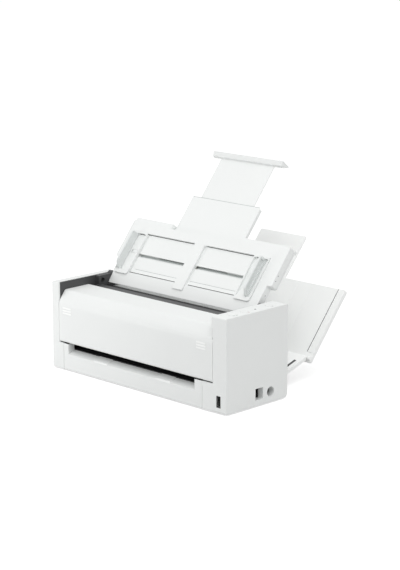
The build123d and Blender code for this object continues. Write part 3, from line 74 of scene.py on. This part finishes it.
def addNode(tree, kind, settings, links):
    # settings go to a socket of that name or number, or else to the node itself
    node = tree.nodes.new(kind)
    for key, value in settings.items():
        if isinstance(key, int) or key in node.inputs:
            node.inputs[key].default_value = value
        else:
            setattr(node, key, value)
    for key, source in links.items():
        tree.links.new(source, node.inputs[key])
    return node


def newMaterial(name):
    material = bpy.data.materials.new(name)
    material.use_nodes = True
    material.node_tree.nodes.clear()
    return material, material.node_tree


finishes = {}


# moulded plastics: ABS, polycarbonate and acetal off steel tools; two colours that a slow cloud mixes, the range
# of roughness, and the grain's size and depth in mm

plastics = {
    # white ABS of the outer covers, from spark eroded tools: soft sheen, fine even grain
    "absWhiteGrained": {"colour": "#ebedec", "cloud": "#e7e9e8", "rough": (0.46, 0.54), "grain": 0.55, "depth": 0.02},
    # the same ABS from smoother tools, on the tray and its slides
    "absWhiteSmooth": {"colour": "#eff1f0", "cloud": "#ebedec", "rough": (0.36, 0.44), "grain": 0.9, "depth": 0.008},
    # charcoal ABS of the inner frames and paper guides, also painted shade in slits, slots and lines: matt, a coarser
    # grain
    "absCharcoal": {"colour": "#444546", "cloud": "#3e3f40", "rough": (0.5, 0.6), "grain": 0.6, "depth": 0.02},
    # black ABS of the reading bars, also painted shade in gaps, holes and lines: matt
    "absBlack": {"colour": "#232324", "cloud": "#1d1d1e", "rough": (0.4, 0.5), "grain": 0.5, "depth": 0.012},
    # light grey polycarbonate of the folding fences: smooth, a little shiny
    "polycarbonateGrey": {"colour": "#e6e9e8", "cloud": "#dfe3e2", "rough": (0.24, 0.32), "grain": 1.2,
                          "depth": 0.006},
    # thin ABS of the stacker's plates, painted brighter: painted light for the light from above that fills them
    "absWhitePaintedLight": {"colour": "#fafbfa", "cloud": "#f6f7f6", "rough": (0.38, 0.46), "grain": 0.9, "depth": 0.008},
    # ABS of the grip bars, painted brighter than the cover: a painted highlight on the raised bars; polished tools, a
    # clean soft gloss
    "absWhitePaintedHighlight": {"colour": "#fbfcfb", "cloud": "#f7f8f7", "rough": (0.26, 0.32), "grain": 1.2,
                         "depth": 0.004},
    # pale and mid grey ABS in the tray's slots: the mid grey is painted shade on their upper half and in shade lines,
    # the pale grey a painted lit lower half; matt
    "absGreyPaintedLit": {"colour": "#eef1f0", "cloud": "#e8ebea", "rough": (0.5, 0.58), "grain": 0.7, "depth": 0.015},
    "absGreyPaintedShade": {"colour": "#bcc2c0", "cloud": "#b5bbb9", "rough": (0.5, 0.58), "grain": 0.7, "depth": 0.015},
    # screen printed inks of the marks beside the buttons: flat and matt
    "printInkGrey": {"colour": "#8b8f91", "cloud": "#83878a", "rough": (0.5, 0.6), "grain": 0.2, "depth": 0.004},
    "printInkGreen": {"colour": "#86a592", "cloud": "#7e9d8a", "rough": (0.5, 0.6), "grain": 0.2, "depth": 0.004},
    "printInkRose": {"colour": "#c79a9c", "cloud": "#bf9294", "rough": (0.5, 0.6), "grain": 0.2, "depth": 0.004},
    # acetal of the gears: waxy off-white
    "acetalNatural": {"colour": "#e9e7de", "cloud": "#e3e1d7", "rough": (0.3, 0.38), "grain": 0.8, "depth": 0.006},
    # ground rubber of the roller tyres: dull, velvety
    "rubberGround": {"colour": "#3b3c3e", "cloud": "#333436", "rough": (0.78, 0.9), "grain": 0.35, "depth": 0.04},
    # moulded rubber of the feet: dull, a plain grain
    "rubberMoulded": {"colour": "#252526", "cloud": "#202021", "rough": (0.65, 0.75), "grain": 0.6, "depth": 0.02},
}
# the cloud is about 70 mm wide, and the grain is drawn coarser than real, so that it shows
moulding = {"cloudScale": 14.0, "cloudDetail": 3.0, "cloudRough": 0.5, "grainDetail": 2.0, "grainRough": 0.6,
            "bump": 0.6, "ior": 1.53}
for name, look in plastics.items():
    material, tree = newMaterial(name)
    coords = addNode(tree, "ShaderNodeTexCoord", {}, {})
    cloud = addNode(tree, "ShaderNodeTexNoise",
                    {"Scale": moulding["cloudScale"], "Detail": moulding["cloudDetail"],
                     "Roughness": moulding["cloudRough"]}, {"Vector": coords.outputs["Object"]})
    tint = addNode(tree, "ShaderNodeMix", {"data_type": "RGBA"}, {"Factor": cloud.outputs["Fac"]})
    tint.inputs[6].default_value = toLinear(look["colour"])  # sockets 6 and 7 are the two colours
    tint.inputs[7].default_value = toLinear(look["cloud"])
    grain = addNode(tree, "ShaderNodeTexNoise",
                    {"Scale": 1 / (look["grain"] * mm), "Detail": moulding["grainDetail"],
                     "Roughness": moulding["grainRough"]}, {"Vector": coords.outputs["Object"]})
    bump = addNode(tree, "ShaderNodeBump", {"Strength": moulding["bump"], "Distance": look["depth"] * mm},
                   {"Height": grain.outputs["Fac"]})
    sheen = addNode(tree, "ShaderNodeMapRange", {"To Min": look["rough"][0], "To Max": look["rough"][1]},
                    {"Value": cloud.outputs["Fac"]})
    shader = addNode(tree, "ShaderNodeBsdfPrincipled", {"IOR": moulding["ior"]},
                     {"Base Color": tint.outputs[2], "Roughness": sheen.outputs["Result"],
                      "Normal": bump.outputs["Normal"]})
    addNode(tree, "ShaderNodeOutputMaterial", {}, {"Surface": shader.outputs["BSDF"]})
    finishes[name] = material


# metals: colour, range of roughness, and how dense their marks are along x, y and z

metals = {
    # ground steel shafts and pins: bright, with turning marks round the axis
    "steelGround": {"colour": "#c9cacc", "rough": (0.16, 0.34), "marks": (900, 25, 25)},
    # nickel plated sheet of the socket shells: bright, fine drawn lines
    "nickelPlate": {"colour": "#d3d2cd", "rough": (0.18, 0.3), "marks": (60, 60, 260)},
    # steel of the data sockets' shells, painted dark for the shade in their openings: a dull shine
    "steelPaintedShade": {"colour": "#2a2a2b", "rough": (0.4, 0.55), "marks": (60, 60, 260)},
    # oil filled sintered bronze: dull brown, a little porous
    "bronzeSintered": {"colour": "#b08a5a", "rough": (0.42, 0.6), "marks": (420, 420, 420)},
}
toolMarks = {"detail": 4.0, "bump": 0.4, "depth": 0.01}
for name, look in metals.items():
    material, tree = newMaterial(name)
    coords = addNode(tree, "ShaderNodeTexCoord", {}, {})
    stretch = addNode(tree, "ShaderNodeMapping", {"Scale": look["marks"]}, {"Vector": coords.outputs["Object"]})
    marks = addNode(tree, "ShaderNodeTexNoise", {"Scale": 1.0, "Detail": toolMarks["detail"]},
                    {"Vector": stretch.outputs["Vector"]})
    sheen = addNode(tree, "ShaderNodeMapRange", {"To Min": look["rough"][0], "To Max": look["rough"][1]},
                    {"Value": marks.outputs["Fac"]})
    bump = addNode(tree, "ShaderNodeBump", {"Strength": toolMarks["bump"], "Distance": toolMarks["depth"] * mm},
                   {"Height": marks.outputs["Fac"]})
    shader = addNode(tree, "ShaderNodeBsdfPrincipled", {"Base Color": toLinear(look["colour"]), "Metallic": 1.0},
                     {"Roughness": sheen.outputs["Result"], "Normal": bump.outputs["Normal"]})
    addNode(tree, "ShaderNodeOutputMaterial", {}, {"Surface": shader.outputs["BSDF"]})
    finishes[name] = material
print("plastics and metals ready")

# optical glass of the reading windows: clear, polished, a faint green edge, a thin film of dust
windowGlass = {"colour": "#e3efec", "ior": 1.52, "clear": 0.92, "dustScale": 260.0, "dustDetail": 5.0,
               "dusty": (0.45, 0.8), "rough": (0.03, 0.12)}
material, tree = newMaterial("glassOptical")
coords = addNode(tree, "ShaderNodeTexCoord", {}, {})
dust = addNode(tree, "ShaderNodeTexNoise", {"Scale": windowGlass["dustScale"], "Detail": windowGlass["dustDetail"]},
               {"Vector": coords.outputs["Object"]})
film = addNode(tree, "ShaderNodeMapRange",
               {"From Min": windowGlass["dusty"][0], "From Max": windowGlass["dusty"][1],
                "To Min": windowGlass["rough"][0], "To Max": windowGlass["rough"][1]},
               {"Value": dust.outputs["Fac"]})
shader = addNode(tree, "ShaderNodeBsdfPrincipled",
                 {"Base Color": toLinear(windowGlass["colour"]), "IOR": windowGlass["ior"],
                  "Transmission Weight": windowGlass["clear"]}, {"Roughness": film.outputs["Result"]})
addNode(tree, "ShaderNodeOutputMaterial", {}, {"Surface": shader.outputs["BSDF"]})
finishes["glassOptical"] = material

# clear acrylic of the status light, frosted on its inside and unlit: dark, with a soft gloss
statusAcrylic = {"colour": "#4a4f54", "ior": 1.49, "clear": 0.25, "coat": 0.3, "frostScale": 1800.0,
                 "frostDetail": 2.0, "rough": (0.2, 0.45)}
material, tree = newMaterial("acrylicFrosted")
coords = addNode(tree, "ShaderNodeTexCoord", {}, {})
frost = addNode(tree, "ShaderNodeTexNoise",
                {"Scale": statusAcrylic["frostScale"], "Detail": statusAcrylic["frostDetail"]},
                {"Vector": coords.outputs["Object"]})
film = addNode(tree, "ShaderNodeMapRange",
               {"To Min": statusAcrylic["rough"][0], "To Max": statusAcrylic["rough"][1]},
               {"Value": frost.outputs["Fac"]})
shader = addNode(tree, "ShaderNodeBsdfPrincipled",
                 {"Base Color": toLinear(statusAcrylic["colour"]), "IOR": statusAcrylic["ior"],
                  "Transmission Weight": statusAcrylic["clear"], "Coat Weight": statusAcrylic["coat"]},
                 {"Roughness": film.outputs["Result"]})
addNode(tree, "ShaderNodeOutputMaterial", {}, {"Surface": shader.outputs["BSDF"]})
finishes["acrylicFrosted"] = material

# green solder mask over copper tracks, which stand a little proud of the laminate; a row of the pattern is a
# quarter of its unit, so the tracks are 1 mm apart
boardMask = {"mask": ("#1d5a36", "#1a5231"), "track": "#2f7a4c", "unit": 4, "trackWidth": 0.09, "trackSoft": 0.2,
             "bump": 0.5, "height": 0.03, "ior": 1.55, "rough": 0.32, "coat": 0.3}
material, tree = newMaterial("solderMaskGreen")
coords = addNode(tree, "ShaderNodeTexCoord", {}, {})
tracks = addNode(tree, "ShaderNodeTexBrick",
                 {"Scale": 1 / (boardMask["unit"] * mm), "Mortar Size": boardMask["trackWidth"],
                  "Mortar Smooth": boardMask["trackSoft"], "Color1": toLinear(boardMask["mask"][0]),
                  "Color2": toLinear(boardMask["mask"][1]), "Mortar": toLinear(boardMask["track"])},
                 {"Vector": coords.outputs["Object"]})
raised = addNode(tree, "ShaderNodeBump", {"Strength": boardMask["bump"], "Distance": boardMask["height"] * mm},
                 {"Height": tracks.outputs["Fac"]})
shader = addNode(tree, "ShaderNodeBsdfPrincipled",
                 {"IOR": boardMask["ior"], "Roughness": boardMask["rough"], "Coat Weight": boardMask["coat"]},
                 {"Base Color": tracks.outputs["Color"], "Normal": raised.outputs["Normal"]})
addNode(tree, "ShaderNodeOutputMaterial", {}, {"Surface": shader.outputs["BSDF"]})
finishes["solderMaskGreen"] = material

slotFinish = {
    "white_cover": "absWhiteGrained", "tray_white": "absWhiteSmooth", "dark_frame": "absCharcoal",
    "black_plastic": "absBlack", "grey_plastic": "polycarbonateGrey", "gear_white": "acetalNatural",
    "roller_rubber": "rubberGround", "foot_rubber": "rubberMoulded", "steel": "steelGround",
    "bronze": "bronzeSintered", "glass": "glassOptical", "board_green": "solderMaskGreen",
    "socket_metal": "nickelPlate", "lens": "acrylicFrosted",
}
# the socket shells are painted dark, painted shade in their openings, and the stacker's plates are painted brighter,
# painted light from above
ownFinish = {
    "usb_a_socket": "steelPaintedShade", "usb_b_socket": "steelPaintedShade", "stacker_base": "absWhitePaintedLight",
    "stacker_panel": "absWhitePaintedLight", "stacker_extension": "absWhitePaintedLight",
}
for nodeName, node in frame["nodes"].items():
    finish = finishes[ownFinish.get(nodeName, slotFinish[slotOf[nodeName]])]
    if node.material_slots:
        for materialSlot in node.material_slots:
            materialSlot.material = finish
    else:
        node.data.materials.append(finish)
print("every node has its finish")


# soft moulded edges: a copy of the node, with its facets joined and its edges rounded, in mm and degrees

edgeWork = {"weld": 0.005, "flat": 0.5, "sharp": 32, "segments": 2}
softEdges = {
    # the knee between the cover's upright face and its slope is one long arc
    "front_cover": {"name": "frontCoverShell", "round": 0.5,
                    "knee": {"low": 80.8, "high": 91.7, "cuts": 8, "radius": 17.5, "front": -139.4914,
                             "corner": 86.92, "slope": 0.796, "reach": 0.5}},
    "left_side_cover": {"name": "leftSideShell", "round": 0.5},
    "right_side_cover": {"name": "rightSideShell", "round": 0.5},
    "lower_front_panel": {"name": "lowerPanelShell", "round": 0.4},
    "rear_cover": {"name": "rearShell", "round": 0.4},
    "control_panel": {"name": "controlPanelPlate", "round": 0.25},
    "tray_frame": {"name": "trayShell", "round": 0.3},
    "tray_cover": {"name": "trayBackShell", "round": 0.4},
    "middle_extension": {"name": "middleSlide", "round": 0.3},
    "upper_extension": {"name": "upperSlide", "round": 0.25},
    "end_stop": {"name": "endStopBar", "round": 0.4},
    "stacker_base": {"name": "stackerBasePlate", "round": 0.3},
    "stacker_panel": {"name": "stackerPanelShell", "round": 0.4},
    "stacker_extension": {"name": "stackerSheet", "round": 0.25},
    "left_guide": {"name": "leftGuidePlate", "round": 0.3},
    "right_guide": {"name": "rightGuidePlate", "round": 0.3},
    "left_fence": {"name": "leftFencePlate", "round": 0.3},
    "right_fence": {"name": "rightFencePlate", "round": 0.3},
    "scan_button": {"name": "scanButtonCap", "round": 0.25},
    "stop_button": {"name": "stopButtonCap", "round": 0.25},
    "power_button": {"name": "powerButtonCap", "round": 0.25},
}


def softenKnee(piece, knee):
    # cuts across the front skin, moved onto the arc; what lies further behind the skin than its reach stays
    bpy.ops.object.mode_set(mode="EDIT")
    for cut in range(knee["cuts"] + 1):
        level = knee["low"] + (knee["high"] - knee["low"]) * cut / knee["cuts"]
        bpy.ops.mesh.select_all(action="SELECT")
        bpy.ops.mesh.bisect(plane_co=(0, 0, level * mm), plane_no=(0, 0, 1))
    bpy.ops.object.mode_set(mode="OBJECT")
    for vertex in piece.data.vertices:
        up = vertex.co.z / mm - knee["low"]
        behind = vertex.co.y / mm - knee["front"]
        skin = max(0, (vertex.co.z / mm - knee["corner"]) * knee["slope"])
        if 0 < up < knee["high"] - knee["low"] and behind < skin + knee["reach"]:
            vertex.co.y = (knee["front"] + knee["radius"] - math.sqrt(knee["radius"] ** 2 - up ** 2)) * mm


for nodeName, look in softEdges.items():
    piece = bpy.data.objects.new(look["name"], frame["nodes"][nodeName].data.copy())
    bpy.context.scene.collection.objects.link(piece)
    bpy.ops.object.select_all(action="DESELECT")
    piece.select_set(True)
    bpy.context.view_layer.objects.active = piece
    bpy.ops.object.mode_set(mode="EDIT")
    bpy.ops.mesh.select_all(action="SELECT")
    bpy.ops.mesh.remove_doubles(threshold=edgeWork["weld"] * mm)
    bpy.ops.mesh.dissolve_limited(angle_limit=math.radians(edgeWork["flat"]))
    bpy.ops.object.mode_set(mode="OBJECT")
    if "knee" in look:
        softenKnee(piece, look["knee"])
    bpy.ops.object.shade_smooth()
    edge = piece.modifiers.new("softEdge", "BEVEL")
    edge.width = look["round"] * mm
    edge.segments = edgeWork["segments"]
    edge.limit_method = "ANGLE"
    edge.angle_limit = math.radians(edgeWork["sharp"])
    edge.use_clamp_overlap = True
    bpy.ops.object.modifier_apply(modifier="softEdge")
    flat = piece.modifiers.new("evenFaces", "WEIGHTED_NORMAL")
    flat.keep_sharp = True
    bpy.ops.object.modifier_apply(modifier="evenFaces")
    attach(piece, bodyOf[nodeName])
    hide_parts(nodeName)
print("soft edges made on", len(softEdges), "pieces")


# places on the case, in mm from its left face, front face and foot, and on the slopes: across, up from the
# slope's foot and out from its face

caseCorner = (-149.15, -139.4914, 0.0)
slopes = {
    "tray": {"y": 75.7076, "z": 101.1098, "tilt": 50.8},
    "basePlate": {"y": 94.0, "z": 5.6, "tilt": 17.8},
    "panel": {"y": 171.504, "z": 30.484, "tilt": 49.8},
    "frontLedge": {"y": 0.0, "z": 34.7, "tilt": 0.0},
    "frontFace": {"y": 0.0, "z": 0.0, "tilt": 90.0},
}


def onCase(x, y, z):
    return tuple((a + b) * mm for a, b in zip(caseCorner, (x, y, z)))


def onSlope(slope, x, up, out):
    turn = math.radians(slope["tilt"])
    return onCase(x, slope["y"] + up * math.cos(turn) - out * math.sin(turn),
                  slope["z"] + up * math.sin(turn) + out * math.cos(turn))


def softBlock(place, tilt, sizes, look):
    # a block of these sizes, turned about x, with a soft edge all round
    bpy.ops.mesh.primitive_cube_add(size=1, location=place, rotation=(math.radians(tilt), 0, 0))
    bpy.context.object.scale = [side * mm for side in sizes]
    bpy.ops.object.transform_apply(location=False, rotation=False, scale=True)
    bpy.ops.object.mode_set(mode="EDIT")
    bpy.ops.mesh.select_all(action="SELECT")
    bpy.ops.mesh.bevel(offset=look["soft"] * mm, segments=look["segments"], affect="EDGES")
    bpy.ops.object.mode_set(mode="OBJECT")


def settlePiece(name, finishName, bodyName):
    # the active object's place goes into its mesh, and it rides on its body
    piece = bpy.context.object
    bpy.ops.object.transform_apply(location=True, rotation=True, scale=True)
    piece.name = name
    piece.data.materials.append(finishes[finishName])
    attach(piece, bodyName)


# grip bars painted brighter than the cover, a painted highlight, three on each side of the front cover
gripHighlightBar = {"middles": (26.9, 257.9), "rows": 3, "low": 72.15, "pitch": 3.3, "wide": 15.0, "tall": 2.0,
             "thick": 0.4, "proud": 0.42, "soft": 0.16, "segments": 3}
for side, middle in enumerate(gripHighlightBar["middles"]):
    for row in range(gripHighlightBar["rows"]):
        height = gripHighlightBar["low"] + row * gripHighlightBar["pitch"] + gripHighlightBar["tall"] / 2
        softBlock(onCase(middle, gripHighlightBar["thick"] / 2 - gripHighlightBar["proud"], height), 0,
                  (gripHighlightBar["wide"], gripHighlightBar["thick"], gripHighlightBar["tall"]), gripHighlightBar)
        settlePiece("gripHighlightBar%d%d" % (side + 1, row + 1), "absWhitePaintedHighlight", "cover")

# thin strips of painted shade and light: in the tray's slots a painted shaded upper half over a painted lit lower
# half, painted shade lines where its parts meet, the same on the guides, the middle slide, the base plate and the
# stacker panel, painted shade at the ends of the gap under the front cover and round the front socket; each is slope,
# across, up, out, thickness, finish, carrier and slot
thinStrips = {
    "slotShadeUpper": ("tray", (46.0, 128.0), (44.0, 46.25), -5.765, 0.05, "absGreyPaintedShade", "tray", "tray_white"),
    "slotLitLower": ("tray", (46.0, 128.0), (41.75, 44.0), -5.765, 0.05, "absGreyPaintedLit", "tray", "tray_white"),
    "slotShadeUpperRight": ("tray", (146.0, 228.0), (44.0, 46.25), -5.765, 0.05, "absGreyPaintedShade", "tray", "tray_white"),
    "slotLitLowerRight": ("tray", (146.0, 228.0), (41.75, 44.0), -5.765, 0.05, "absGreyPaintedLit", "tray",
                            "tray_white"),
    "recessShadeLow": ("tray", (22.0, 126.4), (18.9, 19.7), -2.37, 0.06, "absBlack", "tray", "tray_white"),
    "recessShadeLowRight": ("tray", (147.6, 252.0), (18.9, 19.7), -2.37, 0.06, "absBlack", "tray", "tray_white"),
    "recessShadeHigh": ("tray", (22.0, 126.3), (73.45, 74.25), -2.7, 0.1, "absBlack", "tray", "tray_white"),
    "recessShadeHighRight": ("tray", (147.7, 252.0), (73.45, 74.25), -2.7, 0.1, "absBlack", "tray", "tray_white"),
    "guideShadeLine": ("tray", (50.5, 126.2), (24.35, 24.85), -2.66, 0.05, "absGreyPaintedShade", "tray", "tray_white"),
    "guideShadeLineRight": ("tray", (147.8, 223.5), (24.35, 24.85), -2.66, 0.05, "absGreyPaintedShade", "tray", "tray_white"),
    "guideSlitShadeLeft": ("tray", (31.2, 40.8), (71.65, 72.35), -0.9, 0.2, "absCharcoal", "left_guide_body",
                      "tray_white"),
    "guideSlitShadeRight": ("tray", (233.2, 242.8), (71.65, 72.35), -0.9, 0.2, "absCharcoal", "right_guide_body",
                       "tray_white"),
    "guideClipShadeLeft": ("tray", (31.7, 32.5), (45.0, 50.0), -1.7, 0.2, "absCharcoal", "left_guide_body",
                      "tray_white"),
    "guideClipShadeRight": ("tray", (241.5, 242.3), (45.0, 50.0), -1.7, 0.2, "absCharcoal", "right_guide_body",
                       "tray_white"),
    "baseSlotShade": ("basePlate", (260.2, 263.8), (51.0, 69.0), 2.03, 0.06, "absCharcoal", "base_plate",
                      "tray_white"),
    "panelShadeLineRight": ("panel", (263.1, 264.0), (8.7, 97.6), -2.27, 0.06, "absCharcoal", "stacker", "tray_white"),
    "middleTopShadeLine": ("tray", (80.0, 194.0), (138.95, 139.55), -5.87, 0.06, "absGreyPaintedShade", "middle_extension_body",
                      "tray_white"),
    "coverGapShadeLeft": ("frontLedge", (20.4, 28.5), (0.3, 2.3), 0.03, 0.06, "absBlack", "case", "white_cover"),
    "coverGapShadeRight": ("frontLedge", (247.9, 259.7), (0.3, 2.3), 0.03, 0.06, "absBlack", "case", "white_cover"),
    "usbShadeLow": ("frontFace", (282.9, 289.4), (7.9, 9.3), -0.77, 1.66, "absBlack", "case", "white_cover"),
    "usbShadeHigh": ("frontFace", (282.9, 289.4), (21.7, 21.9), -0.77, 1.66, "absBlack", "case", "white_cover"),
    "usbShadeLeft": ("frontFace", (282.9, 283.3), (9.3, 21.7), -0.77, 1.66, "absBlack", "case", "white_cover"),
    "usbShadeRight": ("frontFace", (288.4, 289.4), (9.3, 21.7), -0.77, 1.66, "absBlack", "case", "white_cover"),
    "panelShadeLineLeft": ("panel", (11.3, 12.2), (8.7, 97.6), -2.27, 0.06, "absCharcoal", "stacker", "tray_white"),
}
stripCells = {"across": 8, "up": 2}
for name, (slopeName, across, up, out, thick, finishName, bodyName, slotName) in thinStrips.items():
    slope = slopes[slopeName]
    bpy.ops.mesh.primitive_grid_add(x_subdivisions=stripCells["across"], y_subdivisions=stripCells["up"], size=1,
                                    location=onSlope(slope, sum(across) / 2, sum(up) / 2, out),
                                    rotation=(math.radians(slope["tilt"]), 0, 0))
    strip = bpy.context.object
    strip.scale = ((across[1] - across[0]) * mm, (up[1] - up[0]) * mm, 1)
    bpy.ops.object.transform_apply(location=False, rotation=False, scale=True)
    wall = strip.modifiers.new("wall", "SOLIDIFY")
    wall.thickness = thick * mm
    wall.offset = 0
    bpy.ops.object.modifier_apply(modifier="wall")
    settlePiece(name, finishName, bodyName)

# foot of the tray's middle rib: a low block with a steep face towards the front
ribFoot = {"middle": 137.0, "wide": 17.0, "up": (9.6, 14.4), "out": (-1.3, 1.0), "soft": 0.5, "segments": 3}
softBlock(onSlope(slopes["tray"], ribFoot["middle"], sum(ribFoot["up"]) / 2, sum(ribFoot["out"]) / 2),
          slopes["tray"]["tilt"],
          (ribFoot["wide"], ribFoot["up"][1] - ribFoot["up"][0], ribFoot["out"][1] - ribFoot["out"][0]), ribFoot)
settlePiece("ribFoot", "absWhiteSmooth", "tray")

# painted shade in the small holes in the tray's sides: black discs, three on each; places across, up and out
holeShades = {"radius": 0.68, "thick": 0.3, "corners": 24, "soft": 0.08, "segments": 2,
            "holes": ((274.0, 55.0, -3.2), (274.0, 48.0, -3.3), (267.3, 28.2, -5.5),
                      (13.0, 55.0, -3.2), (13.0, 48.0, -3.3), (19.7, 28.2, -5.5))}
for number, hole in enumerate(holeShades["holes"]):
    bpy.ops.mesh.primitive_cylinder_add(vertices=holeShades["corners"], radius=holeShades["radius"] * mm,
                                        depth=holeShades["thick"] * mm, location=onSlope(slopes["tray"], *hole),
                                        rotation=(0, math.radians(90), 0))
    bpy.ops.object.mode_set(mode="EDIT")
    bpy.ops.mesh.select_all(action="SELECT")
    bpy.ops.mesh.bevel(offset=holeShades["soft"] * mm, segments=holeShades["segments"], affect="EDGES")
    bpy.ops.object.mode_set(mode="OBJECT")
    settlePiece("holeShade%d" % (number + 1), "absBlack", "tray")

# small printed marks beside and on the buttons, on the flat top of the right side: plain outlines only
markInk = {"height": 114.01, "thick": 0.03, "turn": 45}
printedMarks = {
    "markStart": {"corners": 3, "size": 1.5, "line": 0.42, "place": (292.0, 18.6), "finish": "printInkGreen"},
    "markStartWide": {"corners": 4, "size": 1.3, "line": 0.4, "place": (292.6, 23.2), "finish": "printInkGreen"},
    "markStop": {"corners": 4, "size": 1.3, "line": 0.4, "place": (292.6, 43.0), "finish": "printInkRose"},
    "markPower": {"corners": 24, "size": 1.5, "line": 0.36, "place": (292.4, 82.4), "finish": "printInkGrey"},
}
for name, mark in printedMarks.items():
    bpy.ops.mesh.primitive_circle_add(vertices=mark["corners"], radius=mark["size"] * mm, fill_type="NGON",
                                      location=onCase(*mark["place"], markInk["height"]),
                                      rotation=(0, 0, math.radians(markInk["turn"])))
    bpy.ops.object.mode_set(mode="EDIT")
    bpy.ops.mesh.select_all(action="SELECT")
    bpy.ops.mesh.inset(thickness=mark["line"] * mm, depth=0)
    bpy.ops.mesh.delete(type="FACE")  # inset leaves the inner face selected, and only the outline stays
    bpy.ops.mesh.select_all(action="SELECT")
    bpy.ops.mesh.extrude_region_move(TRANSFORM_OT_translate={"value": (0, 0, markInk["thick"] * mm)})
    bpy.ops.mesh.select_all(action="SELECT")
    bpy.ops.mesh.normals_make_consistent(inside=False)
    bpy.ops.object.mode_set(mode="OBJECT")
    settlePiece(name, mark["finish"], "case")
print("highlightBars, strips and marks made")


# floor, light and background

studio = {"floorSize": 12.0, "paper": "#dcdcdc", "fibreScale": 180.0, "fibreDetail": 4.0, "toothBump": 0.05,
          "toothDepth": 0.05, "floorLift": 0.54, "dome": 0.66}
softBoxes = {
    # a high box at the right front that reaches past the tray, one overhead for the stacker behind it,
    # and a small one low and near at the left, which lights the left end of the front cover
    "highRightBox": {"place": (0.8, -0.7, 1.7), "aim": (0.03, 0.03, 0.08), "size": 1.1, "power": 11.8},
    "overheadBox": {"place": (0.08, 0.14, 1.6), "aim": (0.05, 0.1, 0.08), "size": 0.8, "power": 3.2},
    "frontLeftBox": {"place": (-0.3, -0.47, 0.09), "aim": (-0.1, -0.14, 0.06), "size": 0.16, "power": 0.37},
}


def raysThatSee(tree):
    # 1 for rays from the camera, off gloss and through glass, which see the background white
    rays = addNode(tree, "ShaderNodeLightPath", {}, {})
    seen = addNode(tree, "ShaderNodeMath", {"operation": "MAXIMUM"},
                   {0: rays.outputs["Is Camera Ray"], 1: rays.outputs["Is Glossy Ray"]})
    seenThrough = addNode(tree, "ShaderNodeMath", {"operation": "MAXIMUM"},
                          {0: seen.outputs["Value"], 1: rays.outputs["Is Transmission Ray"]})
    return seenThrough.outputs["Value"]


bpy.ops.mesh.primitive_plane_add(size=studio["floorSize"], location=(0, 0, 0))
floor = bpy.context.object
floor.name = "floor"
material, tree = newMaterial("paperSweepWhite")  # matt white paper sweep with a fine tooth
coords = addNode(tree, "ShaderNodeTexCoord", {}, {})
fibre = addNode(tree, "ShaderNodeTexNoise", {"Scale": studio["fibreScale"], "Detail": studio["fibreDetail"]},
                {"Vector": coords.outputs["Object"]})
tooth = addNode(tree, "ShaderNodeBump", {"Strength": studio["toothBump"], "Distance": studio["toothDepth"] * mm},
                {"Height": fibre.outputs["Fac"]})
paper = addNode(tree, "ShaderNodeBsdfDiffuse", {"Color": toLinear(studio["paper"])},
                {"Normal": tooth.outputs["Normal"]})
lift = addNode(tree, "ShaderNodeMath", {"operation": "MULTIPLY", 1: studio["floorLift"]}, {0: raysThatSee(tree)})
glow = addNode(tree, "ShaderNodeEmission", {"Color": (1, 1, 1, 1)}, {"Strength": lift.outputs["Value"]})
shader = addNode(tree, "ShaderNodeAddShader", {}, {0: paper.outputs["BSDF"], 1: glow.outputs["Emission"]})
addNode(tree, "ShaderNodeOutputMaterial", {}, {"Surface": shader.outputs["Shader"]})
floor.data.materials.append(material)

world = bpy.data.worlds.new("studioRoom")
bpy.context.scene.world = world
world.use_nodes = True
tree = world.node_tree
tree.nodes.clear()
level = addNode(tree, "ShaderNodeMapRange", {"To Min": studio["dome"], "To Max": 1.0}, {"Value": raysThatSee(tree)})
background = addNode(tree, "ShaderNodeBackground", {"Color": (1, 1, 1, 1)}, {"Strength": level.outputs["Result"]})
addNode(tree, "ShaderNodeOutputWorld", {}, {"Surface": background.outputs["Background"]})

for name, look in softBoxes.items():
    towards = Vector(look["aim"]) - Vector(look["place"])
    bpy.ops.object.light_add(type="AREA", location=look["place"],
                             rotation=towards.to_track_quat("-Z", "Y").to_euler())
    box = bpy.context.object
    box.name = name
    box.data.shape = "SQUARE"
    box.data.size = look["size"]
    box.data.energy = look["power"]
bpy.context.scene.view_settings.view_transform = "Standard"
print("light and floor set")
